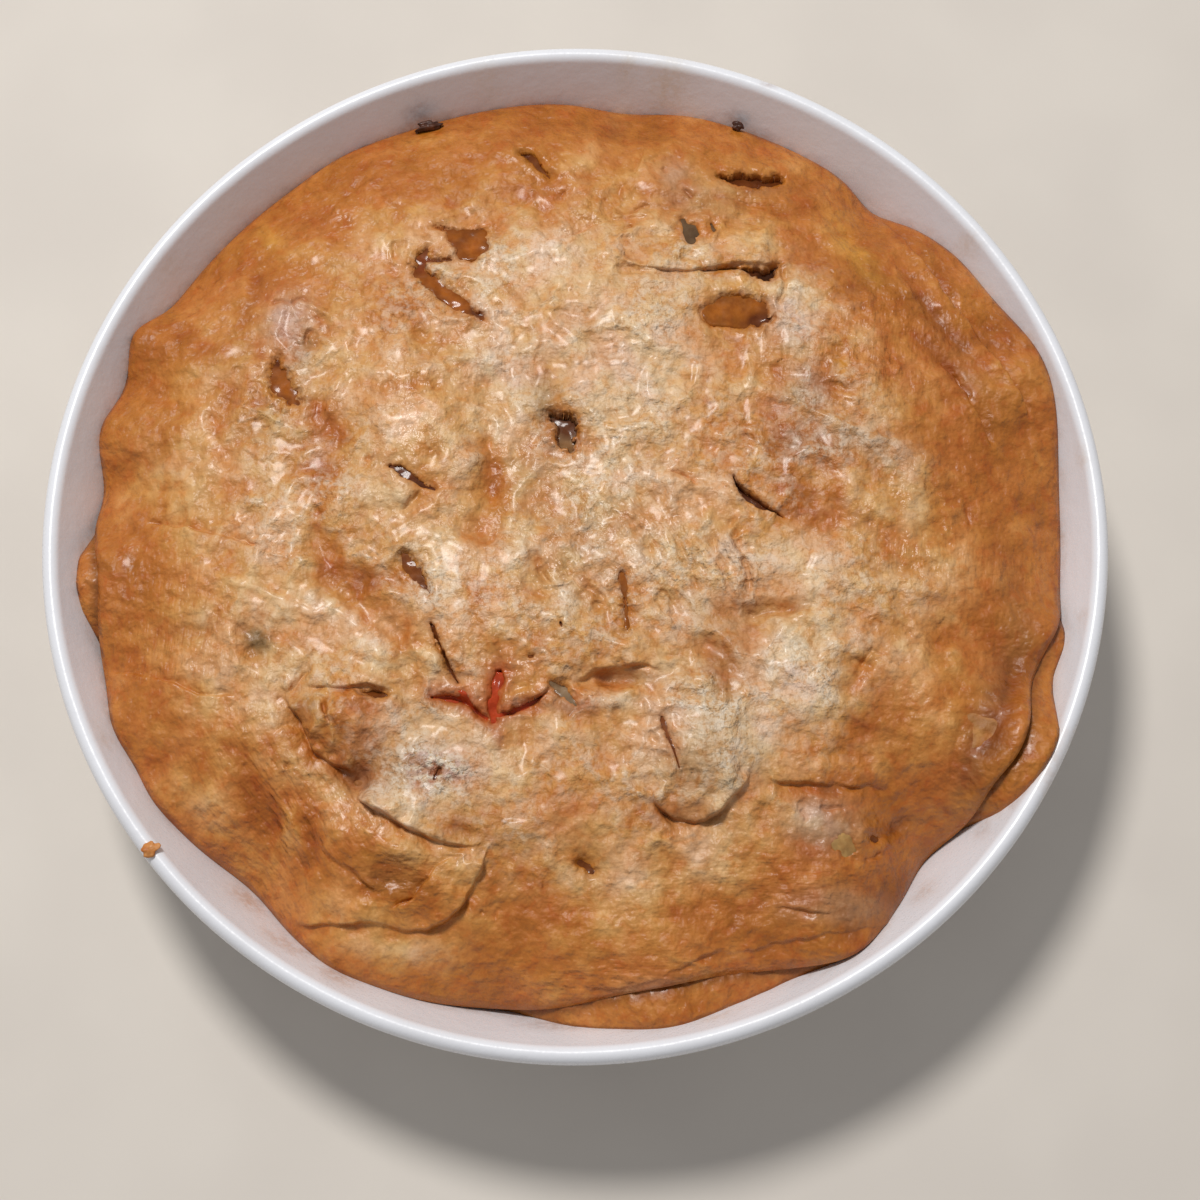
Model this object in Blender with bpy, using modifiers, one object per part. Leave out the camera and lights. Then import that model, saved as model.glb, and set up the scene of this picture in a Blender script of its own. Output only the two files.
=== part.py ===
"""Beef pot pie baked in its own round white dish.

Metres, +Z up. The origin is the middle of the dish's underside, where it stands.
The lid is a domed sheet of pastry; every lump, fold and vent in it is one named row below.
"""

import math

import bmesh
import bpy
import numpy as np
from mathutils import Matrix

GAP = 0.0003  # clearance between neighbouring pieces

# ---- dish -------------------------------------------------------------------------------
DISH_HEIGHT = 0.050
LIP_RADIUS = 0.127  # outside of the rounded lip
LIP_HALF_WIDTH = 0.0022
LIP_HALF_HEIGHT = 0.0030
MOUTH_RADIUS = 0.1227  # inner wall just under the lip
MOUTH_HEIGHT = 0.0480
UNDER_LIP = 0.0048  # how far below the middle of the lip it meets the outer wall
WALL_SLOPE = 0.48  # outward run of the wall for each unit of rise
WALL = 0.0048  # wall thickness, measured level
FLOOR_THICKNESS = 0.0050
INNER_CORNER = 0.012
OUTER_CORNER = 0.010
FOOT_RADIUS = 0.0935
FOOT_WIDTH = 0.006
FOOT_RECESS = 0.0012
DISH_STEPS = 60

# ---- pie --------------------------------------------------------------------------------
PIE_RADIUS = 0.1173  # mean outline where the pastry meets the wall
PIE_TOP = 0.0580  # height of the dome's middle
DOME_POWER = 3.0
MEAN_EDGE_HEIGHT = 0.0425
EDGE_POWER = 9  # how closely the edge's ups and downs keep to the rim
LID_THICKNESS = 0.0042
LID_EDGE = 0.0036  # thickness of the lid's rounded edge
LID_EDGE_TUCK = 0.0006  # how far its lower half is drawn in
UNDERSIDE_INSET = 0.0040
LID_EDGE_RISE = 0.0016  # the lid's edge crest over the line where it meets the wall
RIM_STRIP_RISE = 0.0030  # how far the lid climbs where it lies on the bottom crust's rim
INSET_TO_SHOW = 0.0040  # an inset this deep shows the bottom crust's rim in full
BOTTOM_THICKNESS = 0.0040
BOTTOM_SIDE = 0.0048  # the same pastry measured level, where it stands against the wall
BOTTOM_FLAT = 0.050  # radius inside which its floor is one flat disc
RIM_COVERED = -0.0026  # crest of the bottom crust's rim over the contact line, under the lid
RIM_SHOWN = 0.0015  # and where it shows
RIM_BEVEL = 0.0012
RIM_SHOULDER = 0.0022  # how far below its crest the rim leaves the wall
SHELF = 0.0052  # width of the bottom crust's rim where the lid covers it
SHELF_CLEARANCE = 0.0020
FILLING_CLEARANCE = 0.0014
FILLING_RING_SHARES = (0.19, 0.37, 0.54, 0.70, 0.86, 1.0)
LID_RINGS = 27
UNDERSIDE_RINGS = 11
BOWL_SEGMENTS = 80

# Outline bulges (positive) and notches (negative): angle and half width in degrees, size.
OUTLINE_LOBES = (
    (20, 11, 0.0044),
    (37, 7, 0.0016),
    (49.5, 4, -0.0017),
    (84, 6, -0.0012),
    (120, 6, 0.0005),
    (155, 4, 0.0028),
    (167, 4.5, 0.0018),
    (174, 4.0, -0.0012),
    (186, 6, 0.0022),
    (204, 4.5, 0.0016),
    (213, 4, 0.0010),
    (228, 7, -0.0034),
    (242, 4, 0.0008),
    (261, 8, -0.0024),
    (281, 6, 0.0023),
    (302, 5.5, 0.0034),
    (317, 5.5, -0.0038),
    (333, 7, 0.0046),
)

# Where the lid stops short of the outline and the bottom crust's rim shows: same layout.
LID_INSETS = (
    (186, 6, 0.0052),
    (281, 13, 0.0085),
    (333, 8, 0.0088),
)

# Broad swellings and hollows of the lid: x, y, half length, half width, heading, height.
SWELLINGS = (
    (-0.040, 0.022, 0.028, 0.013, 95, 0.0030),  # long west lobe
    (-0.015, -0.025, 0.024, 0.014, 150, 0.0024),  # mound in the middle
    (0.012, 0.050, 0.025, 0.016, 0, 0.0015),  # floury rise north of the middle
    (0.070, 0.035, 0.034, 0.022, 110, 0.0028),  # big east swelling
    (-0.052, -0.049, 0.010, 0.008, 0, 0.0036),  # folded knob in the south-west
    (0.029, -0.057, 0.011, 0.010, 0, 0.0036),  # floury knob
    (-0.043, -0.079, 0.018, 0.011, -10, 0.0030),  # crumpled heap in the south-west
    (0.003, -0.070, 0.018, 0.011, 0, 0.0012),
    (0.020, -0.100, 0.045, 0.007, 4, 0.0024),  # roll along the south edge
    (0.066, -0.076, 0.013, 0.008, 10, 0.0020),
    (0.060, -0.038, 0.022, 0.018, 30, 0.0020),
    (-0.085, -0.020, 0.030, 0.014, 80, 0.0018),
    (-0.075, -0.065, 0.026, 0.014, -50, 0.0014),
    (0.000, 0.098, 0.040, 0.009, 0, 0.0015),
    (-0.075, 0.060, 0.030, 0.014, 45, 0.0014),
    (0.000, 0.006, 0.020, 0.012, 100, -0.0016),  # basin in the middle
    (-0.015, 0.030, 0.022, 0.006, 95, -0.0016),  # valley beside the west lobe
    (0.020, -0.025, 0.012, 0.010, 90, -0.0010),
    (-0.050, -0.063, 0.006, 0.004, -30, -0.0022),  # pocket under the knob
    (-0.042, -0.084, 0.007, 0.0035, -15, -0.0022),
    (0.041, -0.024, 0.005, 0.003, 5, -0.0015),
    (0.075, -0.071, 0.005, 0.003, -20, -0.0012),
    (-0.075, -0.029, 0.005, 0.004, 20, -0.0012),
    (-0.089, -0.027, 0.005, 0.003, 0, -0.0010),
)

# Folds: start, end, bend, step, groove. The lid is raised on the left of start -> end by
# the step, drops into a groove on the right, and the line bows left by the bend.
FOLDS = (
    ((0.111, 0.024), (0.075, 0.084), 0.000, 0.0016, 0.0012),  # dome meets east flange
    ((0.013, 0.065), (0.050, 0.066), -0.001, 0.0018, 0.0014),  # torn flap, north-east
    ((-0.033, -0.027), (-0.026, -0.042), 0.000, 0.0012, 0.0012),
    ((-0.034, -0.044), (-0.018, -0.049), 0.001, 0.0014, 0.0014),  # red vent, west arm
    ((-0.018, -0.049), (0.000, -0.041), 0.000, 0.0014, 0.0014),  # red vent, east arm
    ((-0.001, -0.040), (0.023, -0.039), 0.003, 0.0014, 0.0014),
    ((-0.063, -0.041), (-0.041, -0.042), 0.000, 0.0010, 0.0018),
    ((-0.068, -0.043), (-0.051, -0.063), 0.001, 0.0022, 0.0018),  # lip of the knob
    ((0.017, -0.064), (0.040, -0.062), -0.009, 0.0022, 0.0022),  # cave round floury knob
    ((-0.052, -0.067), (-0.022, -0.078), -0.001, 0.0016, 0.0016),
    ((-0.060, -0.076), (-0.044, -0.090), 0.000, 0.0014, 0.0014),
    ((-0.063, -0.094), (-0.028, -0.094), -0.003, 0.0018, 0.0012),  # heap over south rim
    ((-0.028, -0.094), (-0.020, -0.077), -0.002, 0.0018, 0.0012),
    ((-0.067, -0.009), (-0.102, 0.002), -0.001, 0.0008, 0.0010),
    ((0.047, -0.063), (0.073, -0.064), 0.001, 0.0010, 0.0010),
)
FOLD_LIP_REACH = 0.0055  # how far the raised side takes to fall away
FOLD_GROOVE_REACH = 0.0030
FOLD_SHARPNESS = 0.0012

# Openings right through the lid: start, end, bend, width.
VENTS = {
    "hook_patch": ((-0.0335, 0.0735), (-0.0220, 0.0715), 0.000, 0.0062),
    "hook_channel": ((-0.0370, 0.0690), (-0.0220, 0.0500), -0.0015, 0.0030),
    "north_slit": ((0.0345, 0.0920), (0.0530, 0.0905), 0.000, 0.0042),
    "gravy_pool": ((0.0320, 0.0530), (0.0485, 0.0530), 0.000, 0.0078),
    "flap_corner": ((0.0420, 0.0640), (0.0515, 0.0640), 0.000, 0.0040),
    "west_pool": ((-0.0700, 0.0430), (-0.0690, 0.0280), 0.000, 0.0066),
    "west_slit": ((-0.0450, 0.0125), (-0.0325, 0.0050), 0.000, 0.0026),
    "lobe_vent": ((-0.0410, -0.0075), (-0.0330, -0.0200), 0.000, 0.0036),
    "middle_hole": ((-0.0050, 0.0290), (0.0000, 0.0145), 0.000, 0.0068),
    "east_slit": ((0.0360, 0.0125), (0.0505, -0.0010), 0.000, 0.0030),
    "red_west": ((-0.0325, -0.0445), (-0.0165, -0.0495), 0.001, 0.0026),
    "red_valley": ((-0.0155, -0.0365), (-0.0178, -0.0510), 0.000, 0.0036),
    "red_east": ((-0.0178, -0.0495), (-0.0065, -0.0445), 0.000, 0.0026),
    "grey_hole": ((-0.0050, -0.0410), (0.0020, -0.0460), 0.000, 0.0034),
    "knob_slit": ((-0.0510, -0.0430), (-0.0410, -0.0440), 0.000, 0.0026),
    "potato_hole": ((0.0595, -0.0755), (0.0655, -0.0805), 0.000, 0.0064),
}
VENT_OUTLINE_POINTS = 8

# What stands up in the vents: the vent, and how far below the lid's face it stops.
GRAVY_IN_VENTS = {
    "hook_patch": 0.0016,
    "hook_channel": 0.0020,
    "gravy_pool": 0.0022,
    "west_pool": 0.0020,
}
CARROT_IN_VENTS = {"red_west": 0.0024, "red_valley": 0.0026, "red_east": 0.0024}
POTATO_IN_VENTS = {"potato_hole": 0.0016}
CARROT_AT = (-0.0180, -0.0450)
CARROT_SIZE = (0.024, 0.015, 0.008)
CARROT_TURN = -20
POTATO_AT = (0.0625, -0.0775)
POTATO_SIZE = (0.010, 0.010, 0.009)
POTATO_TURN = 35
CHUNK_BEVEL = 0.0025
PLUG_CLEARANCE = 0.0006
PLUG_ROOT = 0.0060  # how far a plug reaches down into the piece it belongs to


# ---- scene helpers ----------------------------------------------------------------------
def clear_scene():
    for obj in list(bpy.data.objects):
        bpy.data.objects.remove(obj, do_unlink=True)


def new_collection(name, hidden=False):
    collection = bpy.data.collections.new(name)
    bpy.context.scene.collection.children.link(collection)
    collection.hide_render = hidden
    return collection


def material(name, colour, roughness, metallic=0.0):
    made = bpy.data.materials.new(name)
    made.use_nodes = True
    shader = made.node_tree.nodes["Principled BSDF"]
    shader.inputs["Base Color"].default_value = (*colour, 1.0)
    shader.inputs["Roughness"].default_value = roughness
    shader.inputs["Metallic"].default_value = metallic
    return made


def add_object(name, mesh, collection, finish=None):
    obj = bpy.data.objects.new(name, mesh)
    collection.objects.link(obj)
    if finish:
        mesh.materials.append(finish)
    return obj


def mesh_from(bm, name):
    mesh = bpy.data.meshes.new(name)
    bm.to_mesh(mesh)
    bm.free()
    mesh.shade_smooth()
    mesh.set_sharp_from_angle(angle=math.radians(40))
    return mesh


def as_cutter(obj):
    obj.hide_render = True
    obj.display_type = "WIRE"


def boolean(obj, operation, collection):
    modifier = obj.modifiers.new(operation.title(), "BOOLEAN")
    modifier.operation = operation
    modifier.operand_type = "COLLECTION"
    modifier.collection = collection
    modifier.solver = "EXACT"
    return modifier


# ---- shape of the dish ------------------------------------------------------------------
def wall_radius(height):
    return MOUTH_RADIUS - WALL_SLOPE * (MOUTH_HEIGHT - height)


def wall_height(radius):
    return MOUTH_HEIGHT - (MOUTH_RADIUS - radius) / WALL_SLOPE


def arc(centre, half_width, half_height, first, last, count):
    """Points of an ellipse's arc in the profile's plane, from one angle to another."""
    points = []
    for i in range(count):
        angle = math.radians(first + (last - first) * i / (count - 1))
        x = centre[0] + half_width * math.cos(angle)
        points.append((x, centre[1] + half_height * math.sin(angle)))
    return points


def corner_arc(centre, radius, first, count):
    """The rounding where the floor or the base turns up into the sloping wall."""
    wall_angle = math.degrees(math.atan(WALL_SLOPE))
    return arc(centre, radius, radius, first, -wall_angle, count)


def corner_reach(radius):
    """How far inside the sharp corner of base and wall the rounding starts."""
    return radius * math.tan((math.pi / 2 - math.atan(WALL_SLOPE)) / 2)


def dish_profile():
    """From the middle of the floor, up the inner wall, over the lip and down to the foot."""
    floor_edge = wall_radius(FLOOR_THICKNESS) - corner_reach(INNER_CORNER)
    inner = (floor_edge, FLOOR_THICKNESS + INNER_CORNER)
    points = [(0.0, FLOOR_THICKNESS)]
    points += corner_arc(inner, INNER_CORNER, -90, 5)
    lip = (LIP_RADIUS - LIP_HALF_WIDTH, DISH_HEIGHT - LIP_HALF_HEIGHT)
    points += arc(lip, LIP_HALF_WIDTH, LIP_HALF_HEIGHT, 155, -75, 9)
    under_lip = lip[1] - UNDER_LIP
    points.append((wall_radius(under_lip) + WALL, under_lip))
    outer = (wall_radius(0.0) + WALL - corner_reach(OUTER_CORNER), OUTER_CORNER)
    points += reversed(corner_arc(outer, OUTER_CORNER, -70, 4))
    points.append((FOOT_RADIUS, 0.0))
    points.append((FOOT_RADIUS - FOOT_WIDTH, 0.0))
    points.append((FOOT_RADIUS - FOOT_WIDTH - FOOT_RECESS, FOOT_RECESS))
    points.append((0.0, FOOT_RECESS))
    return points


def make_dish(collection):
    bm = bmesh.new()
    corners = [bm.verts.new((x, 0.0, z)) for x, z in dish_profile()]
    for first, second in zip(corners, corners[1:]):
        bm.edges.new((first, second))
    finish = material("white_glaze", (0.80, 0.79, 0.80), 0.28)
    dish = add_object("dish", mesh_from(bm, "dish"), collection, finish)
    turn = dish.modifiers.new("Turn", "SCREW")
    turn.steps = DISH_STEPS
    turn.render_steps = DISH_STEPS
    turn.use_merge_vertices = True
    turn.merge_threshold = 0.00005
    turn.use_smooth_shade = True
    return dish


# ---- shape of the pastry ----------------------------------------------------------------
def sum_of_lobes(degrees, lobes):
    total = np.zeros_like(degrees)
    for angle, half_width, size in lobes:
        away = (degrees - angle + 180.0) % 360.0 - 180.0
        total += size * np.exp(-((away / half_width) ** 2))
    return total


def outline_radius(degrees):
    return PIE_RADIUS + sum_of_lobes(degrees, OUTLINE_LOBES)


def lid_inset(degrees):
    return sum_of_lobes(degrees, LID_INSETS)


def lid_radius(degrees):
    return outline_radius(degrees) - lid_inset(degrees)


def rim_shows(degrees):
    """0 where the lid covers the bottom crust's rim, 1 where the rim shows in full."""
    return np.clip(lid_inset(degrees) / INSET_TO_SHOW, 0.0, 1.0)


def lid_edge_height(degrees):
    """Height of the crest of the lid's edge, which rides up on the bottom crust's rim."""
    on_rim = rim_shows(degrees)
    contact = wall_height(outline_radius(degrees) + GAP)
    return contact + LID_EDGE_RISE + RIM_STRIP_RISE * on_rim


def polar(x, y):
    return np.hypot(x, y), np.degrees(np.arctan2(y, x)) % 360.0


def swelling_height(x, y, narrowest=0.0):
    """The swellings at least this wide, added up."""
    total = np.zeros_like(x)
    for at_x, at_y, half_length, half_width, heading, height in SWELLINGS:
        if half_width < narrowest:
            continue
        turn = math.radians(heading)
        along = (x - at_x) * math.cos(turn) + (y - at_y) * math.sin(turn)
        across = (y - at_y) * math.cos(turn) - (x - at_x) * math.sin(turn)
        away = (along / half_length) ** 2 + (across / half_width) ** 2
        total += height * np.exp(-away)
    return total


def along_and_across(x, y, start, end, bend):
    """Place beside a bowed line: -1 to 1 along it, and metres to its left."""
    half = math.hypot(end[0] - start[0], end[1] - start[1]) / 2
    forward = ((end[0] - start[0]) / (2 * half), (end[1] - start[1]) / (2 * half))
    from_middle_x = x - (start[0] + end[0]) / 2
    from_middle_y = y - (start[1] + end[1]) / 2
    along = (from_middle_x * forward[0] + from_middle_y * forward[1]) / half
    across = from_middle_y * forward[0] - from_middle_x * forward[1]
    return along, across - bend * (1.0 - along**2)


def fold_height(x, y):
    total = np.zeros_like(x)
    for start, end, bend, step, groove in FOLDS:
        along, across = along_and_across(x, y, start, end, bend)
        fade = np.clip(1.15 - along**2, 0.0, 1.0) ** 0.7
        raised = 0.5 + 0.5 * np.tanh(across / FOLD_SHARPNESS)
        lip = step * np.exp(-np.maximum(across, 0.0) / FOLD_LIP_REACH)
        drop = groove * np.exp(np.minimum(across, 0.0) / FOLD_GROOVE_REACH)
        total += fade * (raised * lip - (1.0 - raised) * drop)
    return total


def dome_height(x, y):
    """The plain dome, whose rim alone rises and dips with the outline."""
    radius, degrees = polar(x, y)
    share = np.clip(radius / lid_radius(degrees), 0.0, 1.0)
    dome = PIE_TOP - (PIE_TOP - MEAN_EDGE_HEIGHT) * share**DOME_POWER
    return dome + (lid_edge_height(degrees) - MEAN_EDGE_HEIGHT) * share**EDGE_POWER


def lid_face(x, y):
    radius, degrees = polar(x, y)
    share = np.clip(radius / lid_radius(degrees), 0.0, 1.0)
    relief = swelling_height(x, y) * (1.0 - share**8) + fold_height(x, y) * (1.0 - share**16)
    return dome_height(x, y) + relief


def lid_underside(x, y):
    """Below the lid only its broad swellings show."""
    radius, degrees = polar(x, y)
    share = np.clip(radius / lid_radius(degrees), 0.0, 1.0)
    broad = swelling_height(x, y, narrowest=0.0105) * (1.0 - share**8)
    return dome_height(x, y) + broad - LID_THICKNESS


# ---- sheets of triangles ----------------------------------------------------------------
def add_disc(bm, rings, reach, height, upward=True):
    """An even net of triangles spread to the reach at each angle."""
    net = bmesh.new()
    bmesh.ops.create_circle(net, cap_ends=True, cap_tris=True, segments=6, radius=1.0)
    bmesh.ops.subdivide_edges(net, edges=net.edges[:], cuts=rings - 1, use_grid_fill=True)
    place = np.array([vert.co for vert in net.verts])
    degrees = np.degrees(np.arctan2(place[:, 1], place[:, 0])) % 360.0
    from_side = (degrees + 30.0) % 60.0 - 30.0
    side = np.cos(np.radians(30.0)) / np.cos(np.radians(from_side))
    radius = np.hypot(place[:, 0], place[:, 1]) / side * reach(degrees)
    x = radius * np.cos(np.radians(degrees))
    y = radius * np.sin(np.radians(degrees))
    for vert, across, along, up in zip(net.verts, x, y, height(x, y)):
        vert.co = (across, along, up)
    net.normal_update()
    wrong = [face for face in net.faces if (face.normal.z > 0) != upward]
    bmesh.ops.reverse_faces(net, faces=wrong)
    sheet = bpy.data.meshes.new("sheet")
    net.to_mesh(sheet)
    net.free()
    bm.from_mesh(sheet)
    bpy.data.meshes.remove(sheet)


def stitch(bm, outer, inner):
    """Triangles between two closed rings round the Z axis that differ in their counts."""

    def turn(vert):
        return math.atan2(vert.co.y, vert.co.x)

    outer, inner = sorted(outer, key=turn), sorted(inner, key=turn)
    outer_step, inner_step = 0, 0
    while outer_step < len(outer) or inner_step < len(inner):
        here, there = outer[outer_step % len(outer)], inner[inner_step % len(inner)]
        if outer_step / len(outer) <= inner_step / len(inner):
            outer_step += 1
            bm.faces.new((here, outer[outer_step % len(outer)], there))
        else:
            inner_step += 1
            bm.faces.new((here, inner[inner_step % len(inner)], there))


def ring_of(bm, radii, heights):
    """One closed ring of points at even angles."""
    count = len(radii)
    ring = []
    for i in range(count):
        angle = 2 * math.pi * i / count
        x, y = radii[i] * math.cos(angle), radii[i] * math.sin(angle)
        ring.append(bm.verts.new((x, y, heights[i])))
    return ring


def join_rings(bm, first, second):
    """A band of triangles, all cut along the same diagonal, so that neighbours match."""
    count = len(first)
    for i in range(count):
        after = (i + 1) % count
        bm.faces.new((first[i], first[after], second[after]))
        bm.faces.new((first[i], second[after], second[i]))


def cap_ring(bm, ring, height):
    middle = bm.verts.new((0.0, 0.0, height))
    for i in range(len(ring)):
        bm.faces.new((ring[i], ring[(i + 1) % len(ring)], middle))


# ---- vents ------------------------------------------------------------------------------
def vent_outline(vent, inset=0.0):
    """A lens-shaped outline round the vent's bowed middle line, drawn in by the inset."""
    start, end, bend, width = vent
    half = math.hypot(end[0] - start[0], end[1] - start[1]) / 2
    forward = ((end[0] - start[0]) / (2 * half), (end[1] - start[1]) / (2 * half))
    middle = ((start[0] + end[0]) / 2, (start[1] + end[1]) / 2)
    points = []
    for i in range(VENT_OUTLINE_POINTS):
        angle = 2 * math.pi * (i + 0.5) / VENT_OUTLINE_POINTS
        along = math.cos(angle) * (half - inset)
        across = math.sin(angle) * (width / 2 - inset) + bend * (1 - (along / half) ** 2)
        x = middle[0] + along * forward[0] - across * forward[1]
        y = middle[1] + along * forward[1] + across * forward[0]
        points.append((x, y))
    return points


def prism(name, outline, bottom, top, collection):
    """The outline drawn up from one height to another."""
    bm = bmesh.new()
    base = bm.faces.new([bm.verts.new((x, y, bottom)) for x, y in outline])
    drawn = bmesh.ops.extrude_face_region(bm, geom=[base])
    lifted = [part for part in drawn["geom"] if isinstance(part, bmesh.types.BMVert)]
    bmesh.ops.translate(bm, verts=lifted, vec=(0.0, 0.0, top - bottom))
    bmesh.ops.recalc_face_normals(bm, faces=bm.faces)
    return add_object(name, mesh_from(bm, name), collection)


def face_height_at(vent):
    """Height of the lid's face over the middle of a vent."""
    start, end, _, _ = vent
    x = np.array([(start[0] + end[0]) / 2])
    y = np.array([(start[1] + end[1]) / 2])
    return float(lid_face(x, y)[0])


def make_vent_cutters(collection):
    for name, vent in VENTS.items():
        middle = face_height_at(vent)
        cutter = prism(f"cut_{name}", vent_outline(vent), middle - 0.015, middle + 0.012, collection)
        as_cutter(cutter)


def make_plugs(depths, collection, clearance):
    """Prisms that stand in the vents, a clearance inside their outlines."""
    for name, depth in depths.items():
        vent = VENTS[name]
        top = face_height_at(vent) - depth
        root = face_height_at(vent) - LID_THICKNESS - FILLING_CLEARANCE - PLUG_ROOT
        plug = prism(f"plug_{name}", vent_outline(vent, clearance), root, top, collection)
        as_cutter(plug)


# ---- pieces of the pie ------------------------------------------------------------------
def make_lid(collection, cutters):
    """The face, a rounded edge drawn down from its rim, and a coarser underside."""
    bm = bmesh.new()
    add_disc(bm, LID_RINGS, lid_radius, lid_face)
    rim = [edge for edge in bm.edges if edge.is_boundary]
    drawn = bmesh.ops.extrude_edge_only(bm, edges=rim)
    for vert in drawn["geom"]:
        if isinstance(vert, bmesh.types.BMVert):
            vert.co.xy *= 1.0 - LID_EDGE_TUCK / PIE_RADIUS
            vert.co.z -= LID_EDGE * 0.6

    def under_reach(degrees):
        return lid_radius(degrees) - UNDERSIDE_INSET

    add_disc(bm, UNDERSIDE_RINGS, under_reach, lid_underside, upward=False)
    open_verts = [vert for vert in bm.verts if vert.is_boundary]
    place = np.array([vert.co for vert in open_verts])
    radius, degrees = polar(place[:, 0], place[:, 1])
    inside = radius < lid_radius(degrees) - UNDERSIDE_INSET / 2
    skirt = [vert for vert, inner in zip(open_verts, inside) if not inner]
    below = [vert for vert, inner in zip(open_verts, inside) if inner]
    stitch(bm, skirt, below)
    bmesh.ops.triangulate(bm, faces=[face for face in bm.faces if len(face.verts) > 3])
    bmesh.ops.recalc_face_normals(bm, faces=bm.faces)
    finish = material("baked_crust", (0.62, 0.36, 0.15), 0.50)
    lid = add_object("top_crust", mesh_from(bm, "top_crust"), collection, finish)
    boolean(lid, "DIFFERENCE", cutters)
    return lid


def bottom_crust_sections():
    """Rings of the bottom crust as (radius, height) rows, outside first, then the inside."""
    degrees = np.arange(BOWL_SEGMENTS) * 360.0 / BOWL_SEGMENTS
    even = np.ones(BOWL_SEGMENTS)
    outline = outline_radius(degrees)
    crest = wall_height(outline + GAP) + RIM_COVERED
    crest = crest + (RIM_SHOWN - RIM_COVERED) * rim_shows(degrees)
    crest_radius = wall_radius(crest) - GAP - RIM_BEVEL
    shelf_radius = outline - SHELF - 1.25 * lid_inset(degrees)
    around = np.radians(degrees)
    shelf_x, shelf_y = shelf_radius * np.cos(around), shelf_radius * np.sin(around)
    shelf_height = lid_underside(shelf_x, shelf_y) - SHELF_CLEARANCE
    floor = FLOOR_THICKNESS + GAP
    corner = wall_radius(floor) - INNER_CORNER * 0.75
    turn = floor + INNER_CORNER * 0.35
    rise = floor + INNER_CORNER
    outside = [
        (even * BOTTOM_FLAT, even * floor),
        (even * corner, even * floor),
        (even * (wall_radius(turn) - 0.25 * INNER_CORNER), even * turn),
        (even * (wall_radius(rise) - GAP), even * rise),
        (wall_radius(crest - RIM_SHOULDER) - GAP, crest - RIM_SHOULDER),
        (wall_radius(crest) - GAP - RIM_BEVEL / 6, crest - RIM_BEVEL / 3),
        (crest_radius, crest),
        ((crest_radius + shelf_radius) / 2, (crest + shelf_height) / 2),
        (shelf_radius, shelf_height),
    ]
    low = rise + 0.5 * BOTTOM_THICKNESS
    knee = (low + shelf_height) / 2
    inner_floor = floor + BOTTOM_THICKNESS
    inside = [
        (wall_radius(knee) - BOTTOM_SIDE, knee),
        (even * (wall_radius(low) - BOTTOM_SIDE), even * low),
        (even * (corner - BOTTOM_THICKNESS), even * inner_floor),
        (even * (BOTTOM_FLAT - BOTTOM_SIDE), even * inner_floor),
    ]
    return outside, inside


def make_bottom_crust(collection):
    outside, inside = bottom_crust_sections()
    bm = bmesh.new()
    rings = [ring_of(bm, radii, heights) for radii, heights in outside + inside]
    for before, after in zip(rings, rings[1:]):
        join_rings(bm, before, after)
    cap_ring(bm, rings[0], float(outside[0][1][0]))
    cap_ring(bm, rings[-1], float(inside[-1][1][0]))
    bmesh.ops.recalc_face_normals(bm, faces=bm.faces)
    finish = material("rim_crust", (0.58, 0.31, 0.12), 0.55)
    return add_object("bottom_crust", mesh_from(bm, "bottom_crust"), collection, finish)


def make_filling(collection, plugs, hollows):
    """Rings from the middle of its top out to the brim, and down the bottom crust's side."""
    outside, inside = bottom_crust_sections()
    around = np.radians(np.arange(BOWL_SEGMENTS) * 360.0 / BOWL_SEGMENTS)
    brim = outside[-1][0] - 2 * GAP
    bm = bmesh.new()
    rings = []
    for share in FILLING_RING_SHARES:
        radii = brim * share
        x, y = radii * np.cos(around), radii * np.sin(around)
        rings.append(ring_of(bm, radii, lid_underside(x, y) - FILLING_CLEARANCE))
    for radii, heights in inside[:2]:
        rings.append(ring_of(bm, radii - 2 * GAP, heights))
    floor = inside[-1][1] + GAP
    for radii, _ in inside[2:]:
        rings.append(ring_of(bm, radii - 2 * GAP, floor))
    for above, below in zip(rings, rings[1:]):
        join_rings(bm, above, below)
    middle = float(lid_underside(np.zeros(1), np.zeros(1))[0]) - FILLING_CLEARANCE
    cap_ring(bm, rings[0], middle)
    cap_ring(bm, rings[-1], float(floor[0]))
    bmesh.ops.recalc_face_normals(bm, faces=bm.faces)
    finish = material("brown_gravy", (0.30, 0.12, 0.03), 0.18)
    filling = add_object("filling", mesh_from(bm, "filling"), collection, finish)
    boolean(filling, "DIFFERENCE", hollows)
    boolean(filling, "UNION", plugs)
    return filling


def room_under_lid(at, size, turn):
    """The greatest height that a block of this plan can reach under the lid."""
    ends = np.array([(-1, -1), (1, -1), (1, 1), (-1, 1), (0, 0)]) / 2
    across, along = ends[:, 0] * size[0], ends[:, 1] * size[1]
    cos, sin = math.cos(math.radians(turn)), math.sin(math.radians(turn))
    x = at[0] + across * cos - along * sin
    y = at[1] + across * sin + along * cos
    return float(lid_underside(x, y).min()) - FILLING_CLEARANCE


def make_chunk(name, at, size, turn, finish, collection):
    """A cut cube of vegetable lying just under the lid."""
    top = room_under_lid(at, size, turn)
    bm = bmesh.new()
    bmesh.ops.create_cube(bm, size=1.0)
    bmesh.ops.scale(bm, verts=bm.verts, vec=size)
    mesh = mesh_from(bm, name)
    chunk = add_object(name, mesh, collection, finish)
    chunk.location = (at[0], at[1], top - size[2] / 2)
    chunk.rotation_euler.z = math.radians(turn)
    return chunk


def round_chunk(chunk):
    bevel = chunk.modifiers.new("Bevel", "BEVEL")
    bevel.width = CHUNK_BEVEL
    bevel.segments = 3


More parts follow.
